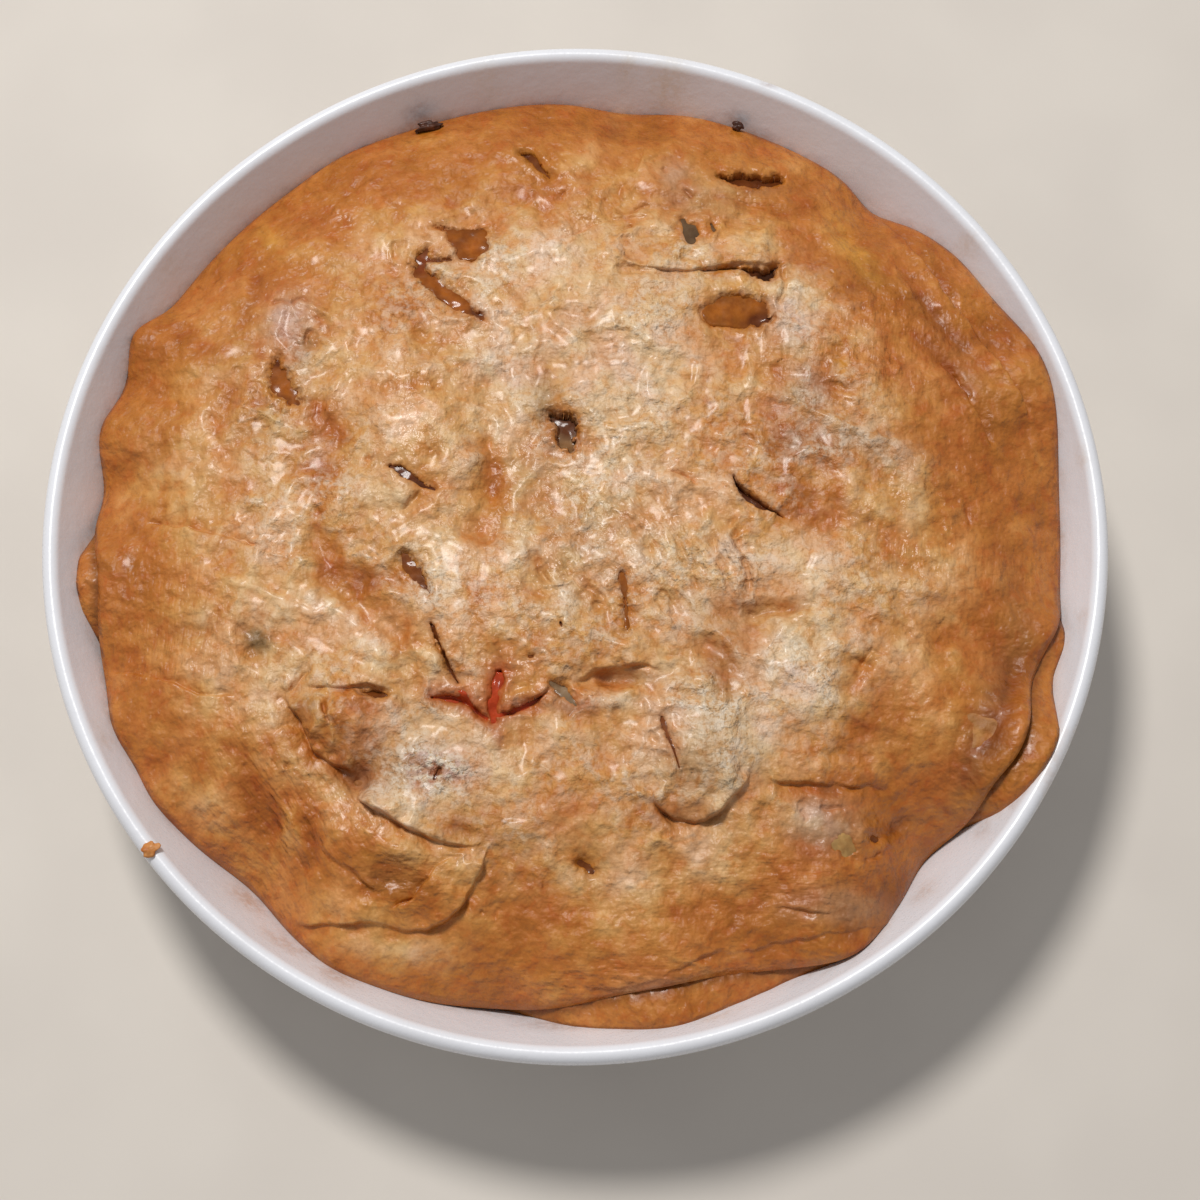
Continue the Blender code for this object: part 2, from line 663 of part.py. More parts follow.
def make_room_for(name, chunk, depths, collection):
    """The room that a chunk and what stands up from it leave in the filling."""
    room = chunk.copy()
    room.name = f"room_{name}"
    room.data = chunk.data.copy()
    room.modifiers.clear()
    room.data.transform(Matrix.Diagonal([1 + 2 * GAP / side for side in chunk.dimensions] + [1]))
    collection.objects.link(room)
    as_cutter(room)
    make_plugs(depths, collection, PLUG_CLEARANCE - GAP)


def main():
    clear_scene()
    pie = new_collection("beef_pot_pie")
    vents = new_collection("vent_cutters", hidden=True)
    gravy = new_collection("gravy_plugs", hidden=True)
    carrot_plugs = new_collection("carrot_plugs", hidden=True)
    potato_plugs = new_collection("potato_plugs", hidden=True)
    rooms = new_collection("chunk_rooms", hidden=True)
    make_vent_cutters(vents)
    make_plugs(GRAVY_IN_VENTS, gravy, PLUG_CLEARANCE)
    make_plugs(CARROT_IN_VENTS, carrot_plugs, PLUG_CLEARANCE)
    make_plugs(POTATO_IN_VENTS, potato_plugs, PLUG_CLEARANCE)
    make_dish(pie)
    make_bottom_crust(pie)
    make_lid(pie, vents)
    orange = material("carrot", (0.55, 0.10, 0.02), 0.30)
    cream = material("potato", (0.55, 0.43, 0.24), 0.40)
    carrot = make_chunk("carrot", CARROT_AT, CARROT_SIZE, CARROT_TURN, orange, pie)
    make_room_for("carrot", carrot, CARROT_IN_VENTS, rooms)
    round_chunk(carrot)
    boolean(carrot, "UNION", carrot_plugs)
    potato = make_chunk("potato", POTATO_AT, POTATO_SIZE, POTATO_TURN, cream, pie)
    make_room_for("potato", potato, POTATO_IN_VENTS, rooms)
    round_chunk(potato)
    boolean(potato, "UNION", potato_plugs)
    make_filling(pie, gravy, rooms)


main()
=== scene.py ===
import math

import bmesh
import bpy
import numpy as np
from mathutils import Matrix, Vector


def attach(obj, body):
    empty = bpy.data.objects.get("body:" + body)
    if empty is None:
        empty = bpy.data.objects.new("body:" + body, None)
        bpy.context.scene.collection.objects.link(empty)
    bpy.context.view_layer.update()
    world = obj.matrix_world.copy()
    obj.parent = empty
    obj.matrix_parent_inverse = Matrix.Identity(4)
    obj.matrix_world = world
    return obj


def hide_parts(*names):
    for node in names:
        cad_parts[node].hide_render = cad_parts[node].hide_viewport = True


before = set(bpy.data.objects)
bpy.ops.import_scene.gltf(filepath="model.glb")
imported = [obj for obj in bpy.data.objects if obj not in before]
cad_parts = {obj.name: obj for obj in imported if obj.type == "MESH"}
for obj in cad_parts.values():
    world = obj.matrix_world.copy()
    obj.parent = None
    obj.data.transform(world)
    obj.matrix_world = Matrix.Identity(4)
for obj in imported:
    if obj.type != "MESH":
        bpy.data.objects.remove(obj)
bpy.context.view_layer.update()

# Beef pot pie in its white dish. Lengths in the tables below are millimetres, angles are
# degrees; MM turns them into the frame's metres. +Y is the back of the pie, +X its right.
MM = 0.001

# ---- dish ---------------------------------------------------------------------------------
DISH_HEIGHT = 50.0
LIP_RADIUS = 126.9
LIP_HALF_WIDTH = 2.3
LIP_HALF_HEIGHT = 3.0
UNDER_LIP = 4.8
MOUTH_RADIUS = 122.7
MOUTH_HEIGHT = 48.0
WALL_SLOPE = 0.48
WALL = 4.8
FLOOR_THICKNESS = 5.0
INNER_CORNER = 12.0
OUTER_CORNER = 10.0
FOOT_RADIUS = 93.5
FOOT_WIDTH = 6.0
FOOT_RECESS = 1.2
DISH_TURNS = 240

# ---- outline and dome of the pie ------------------------------------------------------------
GAP = 0.3
PIE_RADIUS = 117.3
PIE_TOP = 58.0
DOME_POWER = 3.0
MEAN_EDGE_HEIGHT = 42.5
EDGE_POWER = 9
LID_EDGE_RISE = 1.6
RIM_STRIP_RISE = 3.0
INSET_TO_SHOW = 4.0
SKIN_DEPTH, RIDGE_DEPTH, FOLD_DEPTH = 1.25, 1.0, 1.3
SOFT_TOP, HARD_TOP = 58.6, 60.2  # the highest crests are flattened between these
EDGE_ROUNDING = 3.0  # width over which the lid's edge rolls down
EDGE_ROLL = 1.5  # and how far
CRUST_THICKNESS = 2.4
UNDERSIDE_DEPTH = 4.2  # from the plain dome down to the lid's mean underside

# Outline bulges (positive) and notches (negative): angle, half width, size.
OUTLINE_LOBES = (
    (20, 11, 4.4), (37, 7, 1.6), (49.5, 4, -1.7), (84, 6, -1.2), (120, 6, 0.5), (155, 4, 2.8),
    (167, 4.5, 1.8), (174, 4.0, -1.2), (186, 6, 2.2), (204, 4.5, 1.6), (213, 4, 1.0),
    (228, 7, -3.4), (242, 4, 0.8), (261, 8, -2.4), (281, 6, 2.3), (302, 5.5, 3.4), (317, 5.5, -3.8),
    (333, 7, 4.6), (347.5, 4, 2.2), (335.5, 4.5, 1.6), (327.5, 4, 2.0),
)
# Where the lid stops short and the bottom crust's rim shows: angle, half width, inset.
LID_INSETS = ((186, 6, 5.2), (281, 13, 8.5), (346.5, 4, 2.0), (335.5, 8.5, 7.2), (327, 3.5, 3.2))

# Swellings and hollows: x, y, half length, half width, heading, height.
SWELLINGS = (
    (-40, 22, 28, 13, 95, 3), (-15, -25, 24, 14, 150, 2.4), (12, 50, 25, 16, 0, 1.5),
    (70, 35, 34, 22, 110, 2.8), (-52, -49, 10, 8, 0, 4.5), (29, -57, 11, 10, 0, 4.5),
    (-43, -79, 18, 11, -10, 3.75), (3, -70, 18, 11, 0, 1.5), (20, -100, 45, 7, 4, 2.4),
    (66, -76, 13, 8, 10, 2.5), (60, -38, 22, 18, 30, 2), (-85, -20, 30, 14, 80, 1.8),
    (-75, -65, 26, 14, -50, 1.4), (0, 98, 40, 9, 0, 1.5), (-75, 60, 30, 14, 45, 1.4),
    (0, 6, 20, 12, 100, -1.6), (-15, 30, 22, 6, 95, -1.6), (20, -25, 12, 10, 90, -1.25),
    (-50, -63, 6, 4, -30, -2.75), (-42, -84, 7, 3.5, -15, -2.75), (41, -24, 5, 3, 5, -1.88),
    (75, -71, 5, 3, -20, -1.5), (-75, -29, 5, 4, 20, -1.5), (-89, -27, 5, 3, 0, -1.25),
    # smaller forms that only this skin has
    (52, -22.5, 4.5, 1.8, 25, -1.12), (-7.6, 24, 7, 2.8, 82, -1.88), (-3, 16, 5, 2.5, 0, -1),
    (-20, 14, 14, 2.6, 95, -1.12), (-33, 20, 9, 6, 90, 1), (-60, 2, 14, 3, 95, -0.88),
    (-48, -15, 9, 2.4, -10, -1.25), (-24, -15, 8, 6, 80, 0.88), (-53, 3, 8, 1.4, 97, -0.75),
    (3, -82, 3.5, 3, 0, -1.62), (12, -88, 8, 3, 20, -0.62), (56, -73, 8, 5, 0, -0.62),
    (80, 0, 5, 13, 5, 0.7), (-62, -68, 12, 3.5, -65, 1.12), (-70, -72, 14, 2.5, -65, -1),
    (-33, -68, 12, 4, -15, 1.12), (-60, 48, 14, 6, 60, 1), (13, 102, 2, 7, -8, -1.12),
    (10, 110, 2.2, 5, 0, -1.5), (92, 42, 18, 3, -62, -1.25), (84, 52, 16, 3, -60, 1),
    (97, -40, 12, 4, 68, -2), (5, -40, 9, 1.6, 8, -1.12), (13, -40, 7, 1.5, 0, -1.25),
    (8, -46, 13, 1.2, -3, 0.75),
)

# Folds: the line's points, step, groove, overhang. The pastry on the left of the line is
# raised by the step and leans over the groove on its right.
FOLDS = {
    "east_flange": (((110, 26), (104, 38), (95, 53), (85, 69), (76, 84)), 1.5, 1.2, 0.5),
    "torn_flap": (((13, 64.6), (22, 63), (31, 64), (40, 65), (50, 66)), 1.2, 1.0, 0.9),
    "west_crack": (((-33.3, -26.8), (-31, -32), (-28.5, -37.5), (-26, -42)), 1.1, 1.0, 0.4),
    "red_west": (((-34, -43.9), (-27.5, -43.4), (-23, -46), (-19, -49.4)), 1.2, 1.2, 0.5),
    "red_east": (((-18, -49), (-14, -46.8), (-8, -44), (-5, -40.5)), 1.5, 1.3, 0.9),
    "mid_ridge": (((-1, -41), (4, -38.4), (11, -37), (16, -36.2), (23, -38.3)), 1.3, 1.3, 0.6),
    "knob_top": (((-63, -41), (-55, -42.2), (-49, -41.6), (-42, -42)), 0.9, 1.5, 0.5),
    "knob_lip": (((-67.5, -44), (-62.5, -48.6), (-61, -52), (-58, -56.5),
        (-50, -61)), 2.0, 1.8, 0.9),
    "cave": (((17.5, -65), (20, -70), (26, -72.6), (33, -70.4), (37, -66.2),
        (40.5, -62)), 2.0, 2.2, 1.0),
    "heap_top": (((-51, -66), (-42, -71), (-36, -74.8), (-29, -77.4), (-22, -77.6)), 1.5, 1.6, 0.7),
    "heap_crease": (((-59, -76.5), (-54, -81), (-49, -85.4), (-44, -89.5)), 1.2, 1.3, 0.5),
    "heap_rim": (((-65, -93.4), (-55, -94.2), (-45, -95), (-37, -96.5), (-30, -94.6),
        (-25.5, -91), (-22.6, -86), (-20.3, -79)), 1.7, 1.2, 0.9),
    "heap_inner": (((-25.5, -79.6), (-31, -83.4), (-34, -87.4), (-38, -91),
        (-43, -91.8)), 0.9, 1.0, 0.3),
    "west_line": (((-66, -10.5), (-75, -7.5), (-86, -3.4), (-96, -0.5),
        (-103, 1.5)), 0.6, 0.9, 0.3),
    "west_line_low": (((-78, -42.6), (-88, -41.6), (-98, -38), (-112, -34)), 0.5, 0.7, 0.2),
    "east_line": (((44, -63.2), (52, -63.6), (62, -63.3), (73, -64)), 0.9, 1.0, 0.4),
    "east_valley": (((100, 19), (95, 29), (88, 41)), 0.7, 0.9, 0.4),
    "upper_crack": (((15.8, 101), (17, 97), (15, 92), (13.6, 90)), 0.5, 0.9, 0.2),
    "upper_crack_low": (((11.6, 88), (11.4, 85), (13, 82.8)), 0.5, 0.8, 0.2),
    "north_west_line": (((-50, 93), (-55.5, 88), (-61.5, 81)), 0.4, 0.8, 0.2),
    "bottom_line": (((33, -101.5), (44, -100), (55, -97.6), (66, -96), (76, -93)), 0.8, 0.9, 0.4),
    "south_crack": (((1, -109.6), (11, -109), (18, -108.2), (23, -105.6), (28, -102.6),
        (35, -100)), 0.6, 1.2, 0.3),
    "bottom_shade": (((44, -90.5), (52, -92), (60, -93.5)), 0.7, 0.9, 0.3),
    "orange_crescent": (((29.5, 6), (25.5, 9), (20, 10.3)), 0.9, 0.8, 0.3),
    "golden_groove": (((-41.5, 0.4), (-38.5, 2.8), (-35, 5.2)), 0.5, 1.0, 0.2),
    "knob_crease": (((-55.4, -53), (-56.6, -50), (-57.6, -46.6), (-59, -43)), 0.7, 1.0, 0.3),
    "south_east_cut": (((70, -30.8), (68.5, -33.6), (65.5, -38)), 0.4, 0.9, 0.2),
    "basin_edge": (((5.5, -21), (1.5, -18.6), (-2.5, -14.5)), 0.7, 0.7, 0.2),
    "basin_lip": (((-10.5, -10), (-8, -13.5), (-4, -18)), 0.5, 0.5, 0.1),
    "golden_slit_ridge": (((24, -29), (22, -25.5), (22.4, -18.5)), 0.6, 0.9, 0.3),
    "heap_nick": (((-35.5, -89.6), (-41, -92)), 0.4, 0.7, 0.2),
    "north_cut": (((8.8, 77.4), (4.5, 75.8), (0.5, 72.6), (-5, 70.4), (-10, 69.6)), 0.5, 1.1, 0.3),
}
# Places where the skin is pulled into ridges: oval (x, y, half length, half width), heading of
# the ridges, distance between them, height.
PULLED = (
    ((18, -8, 20, 14), -62, 5.0, 0.62), ((34, -14, 12, 9), -65, 4.4, 0.55),
    ((0, -14, 10, 8), -45, 4.0, 0.50), ((12, 22, 18, 8), 5, 3.2, 0.40),
    ((12, 46, 20, 12), -20, 4.6, 0.34), ((-38, 28, 14, 14), 80, 5.5, 0.34),
    ((-16, 36, 6, 12), 85, 3.4, 0.45), ((-72, 28, 7, 20), 85, 3.8, 0.40),
    ((-70, -66, 20, 18), -58, 6.0, 0.60), ((-50, -72, 16, 8), -28, 4.5, 0.55),
    ((-38, -84, 14, 8), -25, 4.5, 0.55), ((-90, -30, 16, 30), 65, 6.5, 0.40),
    ((70, 44, 18, 30), 118, 7.0, 0.45), ((92, -10, 8, 36), 88, 6.0, 0.35),
    ((30, -86, 34, 8), 4, 5.0, 0.40), ((10, -106, 50, 6), 3, 3.0, 0.45),
    ((60, -84, 22, 10), 14, 4.0, 0.45), ((52, -34, 16, 10), -30, 4.0, 0.35),
    ((0, 84, 36, 14), -70, 6.0, 0.30), ((28, -58, 9, 9), 80, 3.2, 0.35),
    ((-34, -58, 10, 7), 10, 3.2, 0.35), ((44, 80, 18, 10), -10, 4.0, 0.40),
)
# The same ridges carry finer ones: attribute, heading of the ridges, and whose headings join it.
PULL_GROUPS = (
    ("pulled_down", -58.0, -90.0, -25.0),
    ("pulled_level", 0.0, -25.0, 40.0),
    ("pulled_up", 84.0, 40.0, 130.0),
)
FOLD_LIP_REACH = 6.5
FOLD_GROOVE_REACH = 1.15
FOLD_SHARPNESS = 0.35

# Ridges and valleys of the skin, painted paler on top as light and browner below as shade: points, half
# width, height.
RIDGES = (
    (((-61, 4), (-60, -7), (-56, -13), (-49, -15.6), (-43, -15.4)), 3.0, -1.1),
    (((-60, -12), (-54, -18), (-48, -23), (-41, -29), (-37, -35)), 3.4, -1.3),
    (((-64, -18), (-54, -25), (-47, -32), (-41, -39)), 3.0, 0.8),
    (((-91, -26.4), (-87, -26.8), (-83, -27)), 1.5, -1.0),
    (((-79, -30), (-76, -33), (-73, -34.4)), 1.0, -0.6),
    (((-81, -50), (-77, -58), (-72.6, -67), (-70, -76)), 3.0, -0.8),
    (((-66, -65), (-65.4, -72), (-64.6, -80)), 2.0, 1.3),
    (((-61, -67), (-60.6, -75), (-60, -84)), 1.6, -1.0),
    (((-57, -43), (-57.4, -48), (-56.4, -52.6), (-54, -52)), 1.0, -0.9),
    (((-66.4, -46), (-61, -52), (-55.6, -58.4), (-50.4, -62.6), (-45, -63.6)), 2.5, -2.2),
    (((-50.2, -66.4), (-44, -69), (-37.8, -72)), 2.0, 1.3),
    (((-24, -80), (-26.6, -85), (-31, -89.5), (-37, -93.4)), 3.0, 1.5),
    (((-47, -83.8), (-42.6, -84.6), (-36.5, -85.2)), 2.2, -0.8),
    (((-44.5, -78.5), (-39, -79.4), (-33, -82.6)), 1.6, 1.2),
    (((-56.4, -71), (-55, -74), (-52.6, -76.8)), 2.2, 1.1),
    (((-59, -88), (-50, -91.8), (-41, -91.8)), 2.2, 0.8),
    (((-60, -98.4), (-46, -100), (-33, -101)), 2.6, 0.7),
    (((-21, 10), (-20.6, 2), (-23, -4), (-20, -9)), 2.8, -1.1),
    (((-22.5, 22), (-19.4, 11), (-20, 2)), 2.6, -0.9),
    (((-12, -7), (-8, -13), (-5, -19), (-2, -22)), 1.4, -0.8),
    (((-9, -45), (-10.4, -51), (-12.4, -57)), 1.2, -0.8),
    (((0, -18), (5, -21), (9.4, -24)), 2.6, -1.0), (((-8, -16), (-3, -20), (-1, -26)), 2.2, 0.8),
    (((38.4, -23), (42, -23.8), (46, -23.4), (53.4, -21.8)), 1.8, -1.6),
    (((40, -26), (41, -33), (42.4, -43)), 2.0, -0.9),
    (((70.4, -31), (67, -37), (61, -44)), 2.2, -1.3), (((46, -27), (50, -34), (52, -43)), 4.0, 0.7),
    (((26, -30), (32, -34), (36, -40), (31, -44)), 3.0, -1.2),
    (((4, -39.6), (10, -40), (17, -39.4)), 1.8, -1.0),
    (((-1, -42), (6, -45), (11, -44.8), (17, -41)), 1.2, 0.8),
    (((18, -68.4), (25, -71.6), (32, -70)), 2.0, -1.4),
    (((66, -76), (72, -73), (79, -68.6)), 1.8, -1.3),
    (((104.6, -31), (102, -40), (98.6, -48), (92.4, -59)), 2.6, -1.6),
    (((94.6, -49), (91.6, -57)), 1.6, -0.8), (((82.6, -36), (80, -45)), 2.0, 0.7),
    (((88, -30), (89, -38)), 2.0, 0.8), (((-84, 67), (-80.6, 60), (-84.4, 51)), 2.0, 0.7),
    (((-78, 67), (-79.4, 58), (-82.6, 48)), 1.8, -0.7),
    (((-63, 31.6), (-60.4, 26), (-57.4, 19)), 2.8, -1.3), (((-57, 46), (-60.4, 37)), 2.0, 0.7),
    (((-41, 46), (-34, 44), (-31, 37)), 2.2, -0.9), (((-49, 39), (-45, 34), (-38, 33)), 2.4, 0.8),
    (((-50, 31), (-40, 31.6), (-29, 32)), 1.2, -0.6), (((-52, 26), (-44, 22), (-30, 22)), 5.0, 0.7),
    (((-88.6, 30), (-85, 20), (-81.4, 11)), 1.2, -0.8), (((-91, 30), (-88, 20)), 2.0, 0.6),
    (((78, 73), (82, 62), (90, 50), (96, 41)), 1.6, -1.1),
    (((76, 50), (84, 46.4), (92, 36), (96, 29)), 1.8, -0.9),
    (((57, 82), (62, 75), (66.4, 67)), 2.4, 1.1), (((66.4, 79), (71, 70)), 2.0, -0.9),
    (((78, 77), (79.4, 66), (84, 57)), 2.0, 0.8), (((76, 48), (75, 38), (73.6, 29)), 1.4, -0.7),
    (((59.4, 42), (60.2, 30)), 1.0, -0.7), (((35, 70.4), (42, 71), (49, 69)), 3.0, 0.9),
    (((9, -4), (14, -12), (16, -19)), 1.6, 0.6), (((20, -3), (22.6, -12), (26, -20)), 1.4, 0.7),
    (((27, -4), (31, -12), (35, -20)), 1.4, 0.7), (((33, -3), (37.6, -11), (39.6, -19)), 1.2, 0.6),
    (((20, 9.6), (25, 8.8), (29, 5.6)), 1.0, -0.7), (((2, 90), (4, 100), (5, 108)), 2.4, 0.6),
    (((-50, 100), (-40, 103), (-26, 106)), 3.0, 0.6),
    (((50, -59.6), (62, -60), (75, -60.4)), 1.8, 0.7),
)

# Fine grooves and cracks: points, half width, depth.
CRACKS = (
    (((-19.2, 54), (-18.1, 52), (-18.0, 49.6)), 0.30, 0.7), (((-3.8, 84.2), (-2.8, 86)), 0.30, 0.6),
    (((14.6, 78.6), (14.8, 80.3), (16, 81.2), (18.6, 81.6)), 0.35, 0.7),
    (((11.8, 72.6), (12.2, 74.8), (14.6, 75.4)), 0.45, 0.8), (((21.6, 93.6), (22.4, 91)), 0.5, 0.6),
    (((26.4, 87.6), (28, 85.2), (29.4, 83.4)), 0.35, 0.7),
    (((-62.6, 47.3), (-64.9, 47.1), (-65.1, 43)), 0.40, 1.0),
    (((-75, 55), (-72, 56.4), (-69, 55.2), (-66.6, 57), (-64.8, 55)), 0.35, 0.8),
    (((-62.9, 51.8), (-62.2, 50.4)), 0.3, 0.6), (((-77, 28.4), (-76.2, 26)), 0.3, 0.6),
    (((-73, 23.4), (-75, 22.8)), 0.3, 0.6), (((-49.8, 14.2), (-47, 12.6)), 0.6, 0.8),
    (((-43, 84), (-45, 76), (-43.6, 66)), 0.9, 0.5), (((50, 65), (50.6, 58), (48.4, 53)), 0.4, 0.7),
    (((9, 46.4), (13.6, 45.8)), 0.4, 0.5),
    (((36, -1), (38.5, -8), (40.5, -16), (41, -20)), 0.6, 0.6),
    (((31, -2), (33.5, -10), (36.6, -21)), 0.5, 0.5), (((14, -3), (17, -8), (20, -16)), 0.6, 0.4),
    (((22, -3), (26, -11), (29, -20)), 0.5, 0.4),
    (((-66.8, -43.4), (-63, -39), (-60.6, -37)), 0.35, 0.5),
    (((-70, -52), (-66.5, -49.8), (-64, -49.6)), 0.5, 0.5),
    (((-77, -29.6), (-74, -33), (-72, -33)), 0.6, 0.7), (((-67, -60), (-64.6, -59)), 0.6, 0.6),
    (((-20.4, -92.6), (-21.6, -92.9)), 0.4, 0.6), (((-17, -91), (-18.4, -94.6)), 0.3, 0.5),
    (((-66, -74), (-63, -80), (-60, -83)), 0.6, 0.6), (((20, -34.8), (24.5, -34.4)), 0.3, 0.5),
    (((19, -76), (23, -75)), 0.4, 0.4), (((-29, -63), (-25.4, -63.6)), 0.5, 0.5),
    (((90, -48), (87.6, -56), (88, -62)), 0.6, 0.6), (((80, -61), (78, -66)), 0.5, 0.4),
    (((93, 6), (94, -2)), 0.4, 0.4), (((51.4, -69), (53, -71.4), (51.6, -73)), 0.4, 0.6),
    (((55.6, -68.6), (58, -69.2), (61, -68.8), (62, -70.6)), 0.35, 0.7),
    (((63, -71), (64.4, -73.4), (66.5, -73.2)), 0.35, 0.5),
    (((65.4, -80.8), (69, -79.6), (71, -77.6)), 0.45, 0.8),
    (((22, -45), (31, -44), (37, -47)), 0.6, 0.3), (((-112, 44), (-107, 52), (-104, 58)), 0.5, 0.6),
    (((-98, 6), (-99.5, -3)), 0.8, 0.4), (((6, -113), (26, -111), (44, -107)), 0.4, 0.3),
)

# Openings right through the lid. Each is a chain of (x, y, half width), how far below the
# face the filling stands, and how far its juice has soaked the pastry round it.
VENTS = {
    "hook_patch": (((-34.8, 75.8, 0.4), (-31, 74.4, 1.0), (-28.6, 71.6, 2.2), (-26.2, 70.4, 3.5),
        (-24.4, 70.0, 2.9)), 1.1, 1.0),
    "hook_patch_top": (((-29.4, 73.8, 0.9), (-26, 73.2, 1.2), (-22.9, 73.8, 0.7)), 1.1, 1.0),
    "hook_patch_low": (((-28.2, 67.8, 0.9), (-25.6, 67.6, 1.2), (-23.2, 68.6, 1.1)), 1.1, 1.0),
    "hook_neck": (((-36.4, 69.6, 0.4), (-37, 67.2, 1.2), (-34.6, 66.4, 0.7),
        (-31.4, 66.4, 1.0)), 1.5, 1.0),
    "hook_channel": (((-37.8, 66, 1.3), (-37.2, 62.4, 1.8), (-34, 58.9, 1.8), (-30.4, 55.8, 1.6),
        (-26.6, 52.6, 1.4), (-22.6, 50.4, 1.0)), 1.2, 1.2),
    "north_slit": (((-13.6, 97.4, 0.5), (-11.4, 96.6, 1.2), (-10, 94.4, 0.8),
        (-6.6, 90.2, 0.25)), 2.0, 2.4),
    "north_east_slit": (((35.6, 91.2, 0.6), (39.4, 90.4, 1.9), (45, 90.2, 2.0),
        (51, 92.0, 1.2)), 2.4, 1.0),
    "torn_hole": (((26.3, 77.2, 0.5), (27.2, 75, 1.0), (28, 71.6, 1.1)), 1.0, 0.4),
    "torn_side": (((28.6, 75.4, 1.1), (29.4, 73.8, 0.9)), 1.0, 0.4),
    "torn_nick": (((33.2, 76.6, 0.5), (33.9, 75, 0.6)), 1.2, 0.4),
    "flap_gap": (((31, 63.6, 0.25), (37, 64.1, 0.35), (42, 63.6, 0.8), (46.2, 62.4, 2.0),
        (49.4, 65.2, 0.6)), 2.2, 1.4),
    "gravy_pool": (((33.6, 51.2, 2.6), (38.4, 52.2, 4.0), (43.8, 51.6, 3.6)), 1.3, 2.6),
    "west_pool": (((-72, 40.6, 0.9), (-71.8, 37.6, 1.9), (-70.6, 34, 2.5), (-69, 31.6, 2.2),
        (-66.4, 28.8, 0.6)), 1.4, 1.6),
    "west_slit": (((-43.4, 11.2, 0.7), (-41, 10.2, 1.0), (-38, 8, 0.8), (-35, 6.2, 0.6),
        (-33, 5.6, 0.35)), 2.0, 1.0),
    "lobe_vent": (((-40, -10, 0.3), (-38.5, -12.8, 1.4), (-36.6, -16, 1.3), (-34.5, -18.6, 0.7),
        (-33.6, -19.8, 0.3)), 1.1, 1.4),
    "middle_hole": (((-4.9, 24.8, 1.5), (-2, 22.6, 2.6), (-2.2, 19.2, 2.6),
        (-1, 17, 1.2)), 2.4, 1.4),
    "east_slit": (((37.4, 9.2, 0.25), (38.6, 6.6, 0.6), (41, 4, 1.0), (44.5, 1.9, 0.9),
        (47.5, 0.3, 0.4), (49, -0.6, 0.2)), 2.8, 0.6),
    "west_crack": (((-33.2, -27, 0.35), (-32, -29.2, 0.7), (-30.4, -33, 0.35),
        (-28.5, -37.4, 0.6), (-26.6, -41, 0.25)), 1.8, 1.0),
    "red_west": (((-33, -43.9, 0.25), (-27.6, -43.8, 0.75), (-24.5, -44.6, 0.5),
        (-22.4, -47, 0.6), (-20.2, -48.9, 0.4)), 1.6, 2.2),
    "red_valley": (((-17, -38.6, 0.9), (-18, -42.4, 0.9), (-18.8, -46.4, 0.8),
        (-18.4, -49.6, 0.5)), 1.8, 2.6),
    "red_east": (((-17.2, -48.5, 0.6), (-14, -46.9, 0.7), (-9.8, -45.2, 0.6),
        (-7.8, -44, 0.3)), 1.6, 1.4),
    "grey_hole": (((-5.4, -40.9, 0.5), (-3.6, -42, 1.2), (-1.6, -44, 1.1),
        (0.4, -46.2, 0.3)), 1.5, 0.4),
    "pin_hole": (((-10.3, -35.1, 0.35), (-9.6, -35.1, 0.35)), 1.2, 0.2),
    "small_pin": (((-3.2, -27.2, 0.3), (-3.0, -27.8, 0.3)), 1.2, 0.3),
    "basin_slit": (((11, -14.8, 0.6), (11.4, -18, 0.7), (11.8, -22, 0.4),
        (12.3, -28, 0.22)), 1.2, 1.2),
    "knob_slit": (((20, -49, 0.4), (20.4, -50.6, 0.75), (22, -55, 0.3), (24, -61, 0.25)), 1.6, 0.8),
    "fold_hole": (((-48.6, -43, 0.6), (-45.4, -43.5, 0.9), (-43.2, -43.8, 0.35)), 1.6, 1.6),
    "red_nick": (((-30.9, -60.8, 0.5), (-31.9, -63.2, 0.35)), 1.2, 0.9),
    "south_hole": (((1.6, -81.6, 0.6), (3.8, -83.4, 0.7)), 1.2, 2.0),
    "potato_hole": (((61.6, -76.8, 2.3), (62.4, -78, 2.1)), 0.7, 0.3),
    "red_dot": (((68.8, -75.3, 0.5), (69.4, -75.5, 0.4)), 1.2, 1.4),
}
RAGGEDNESS = 0.60  # how far the openings' borders wander
WALL_ROUNDING = 0.45
CHAINS = {vent: row[0] for vent, row in VENTS.items()}
DEPTHS = np.array([row[1] for row in VENTS.values()])
SOAKS = np.array([row[2] for row in VENTS.values()])
WIDEST = np.array([max(point[2] for point in chain) for chain in CHAINS.values()])

# ---- colours of the crust ---------------------------------------------------------------------
# Inner border of the browned ring, as radius for each 30 degrees from the right, going round.
RING_START = (85, 87, 92, 90, 92, 97, 100, 97, 84, 92, 86, 90)
RING_SOFTNESS = 11.0
MIDDLE_BROWNING = 0.66
RING_BROWNING = 0.93
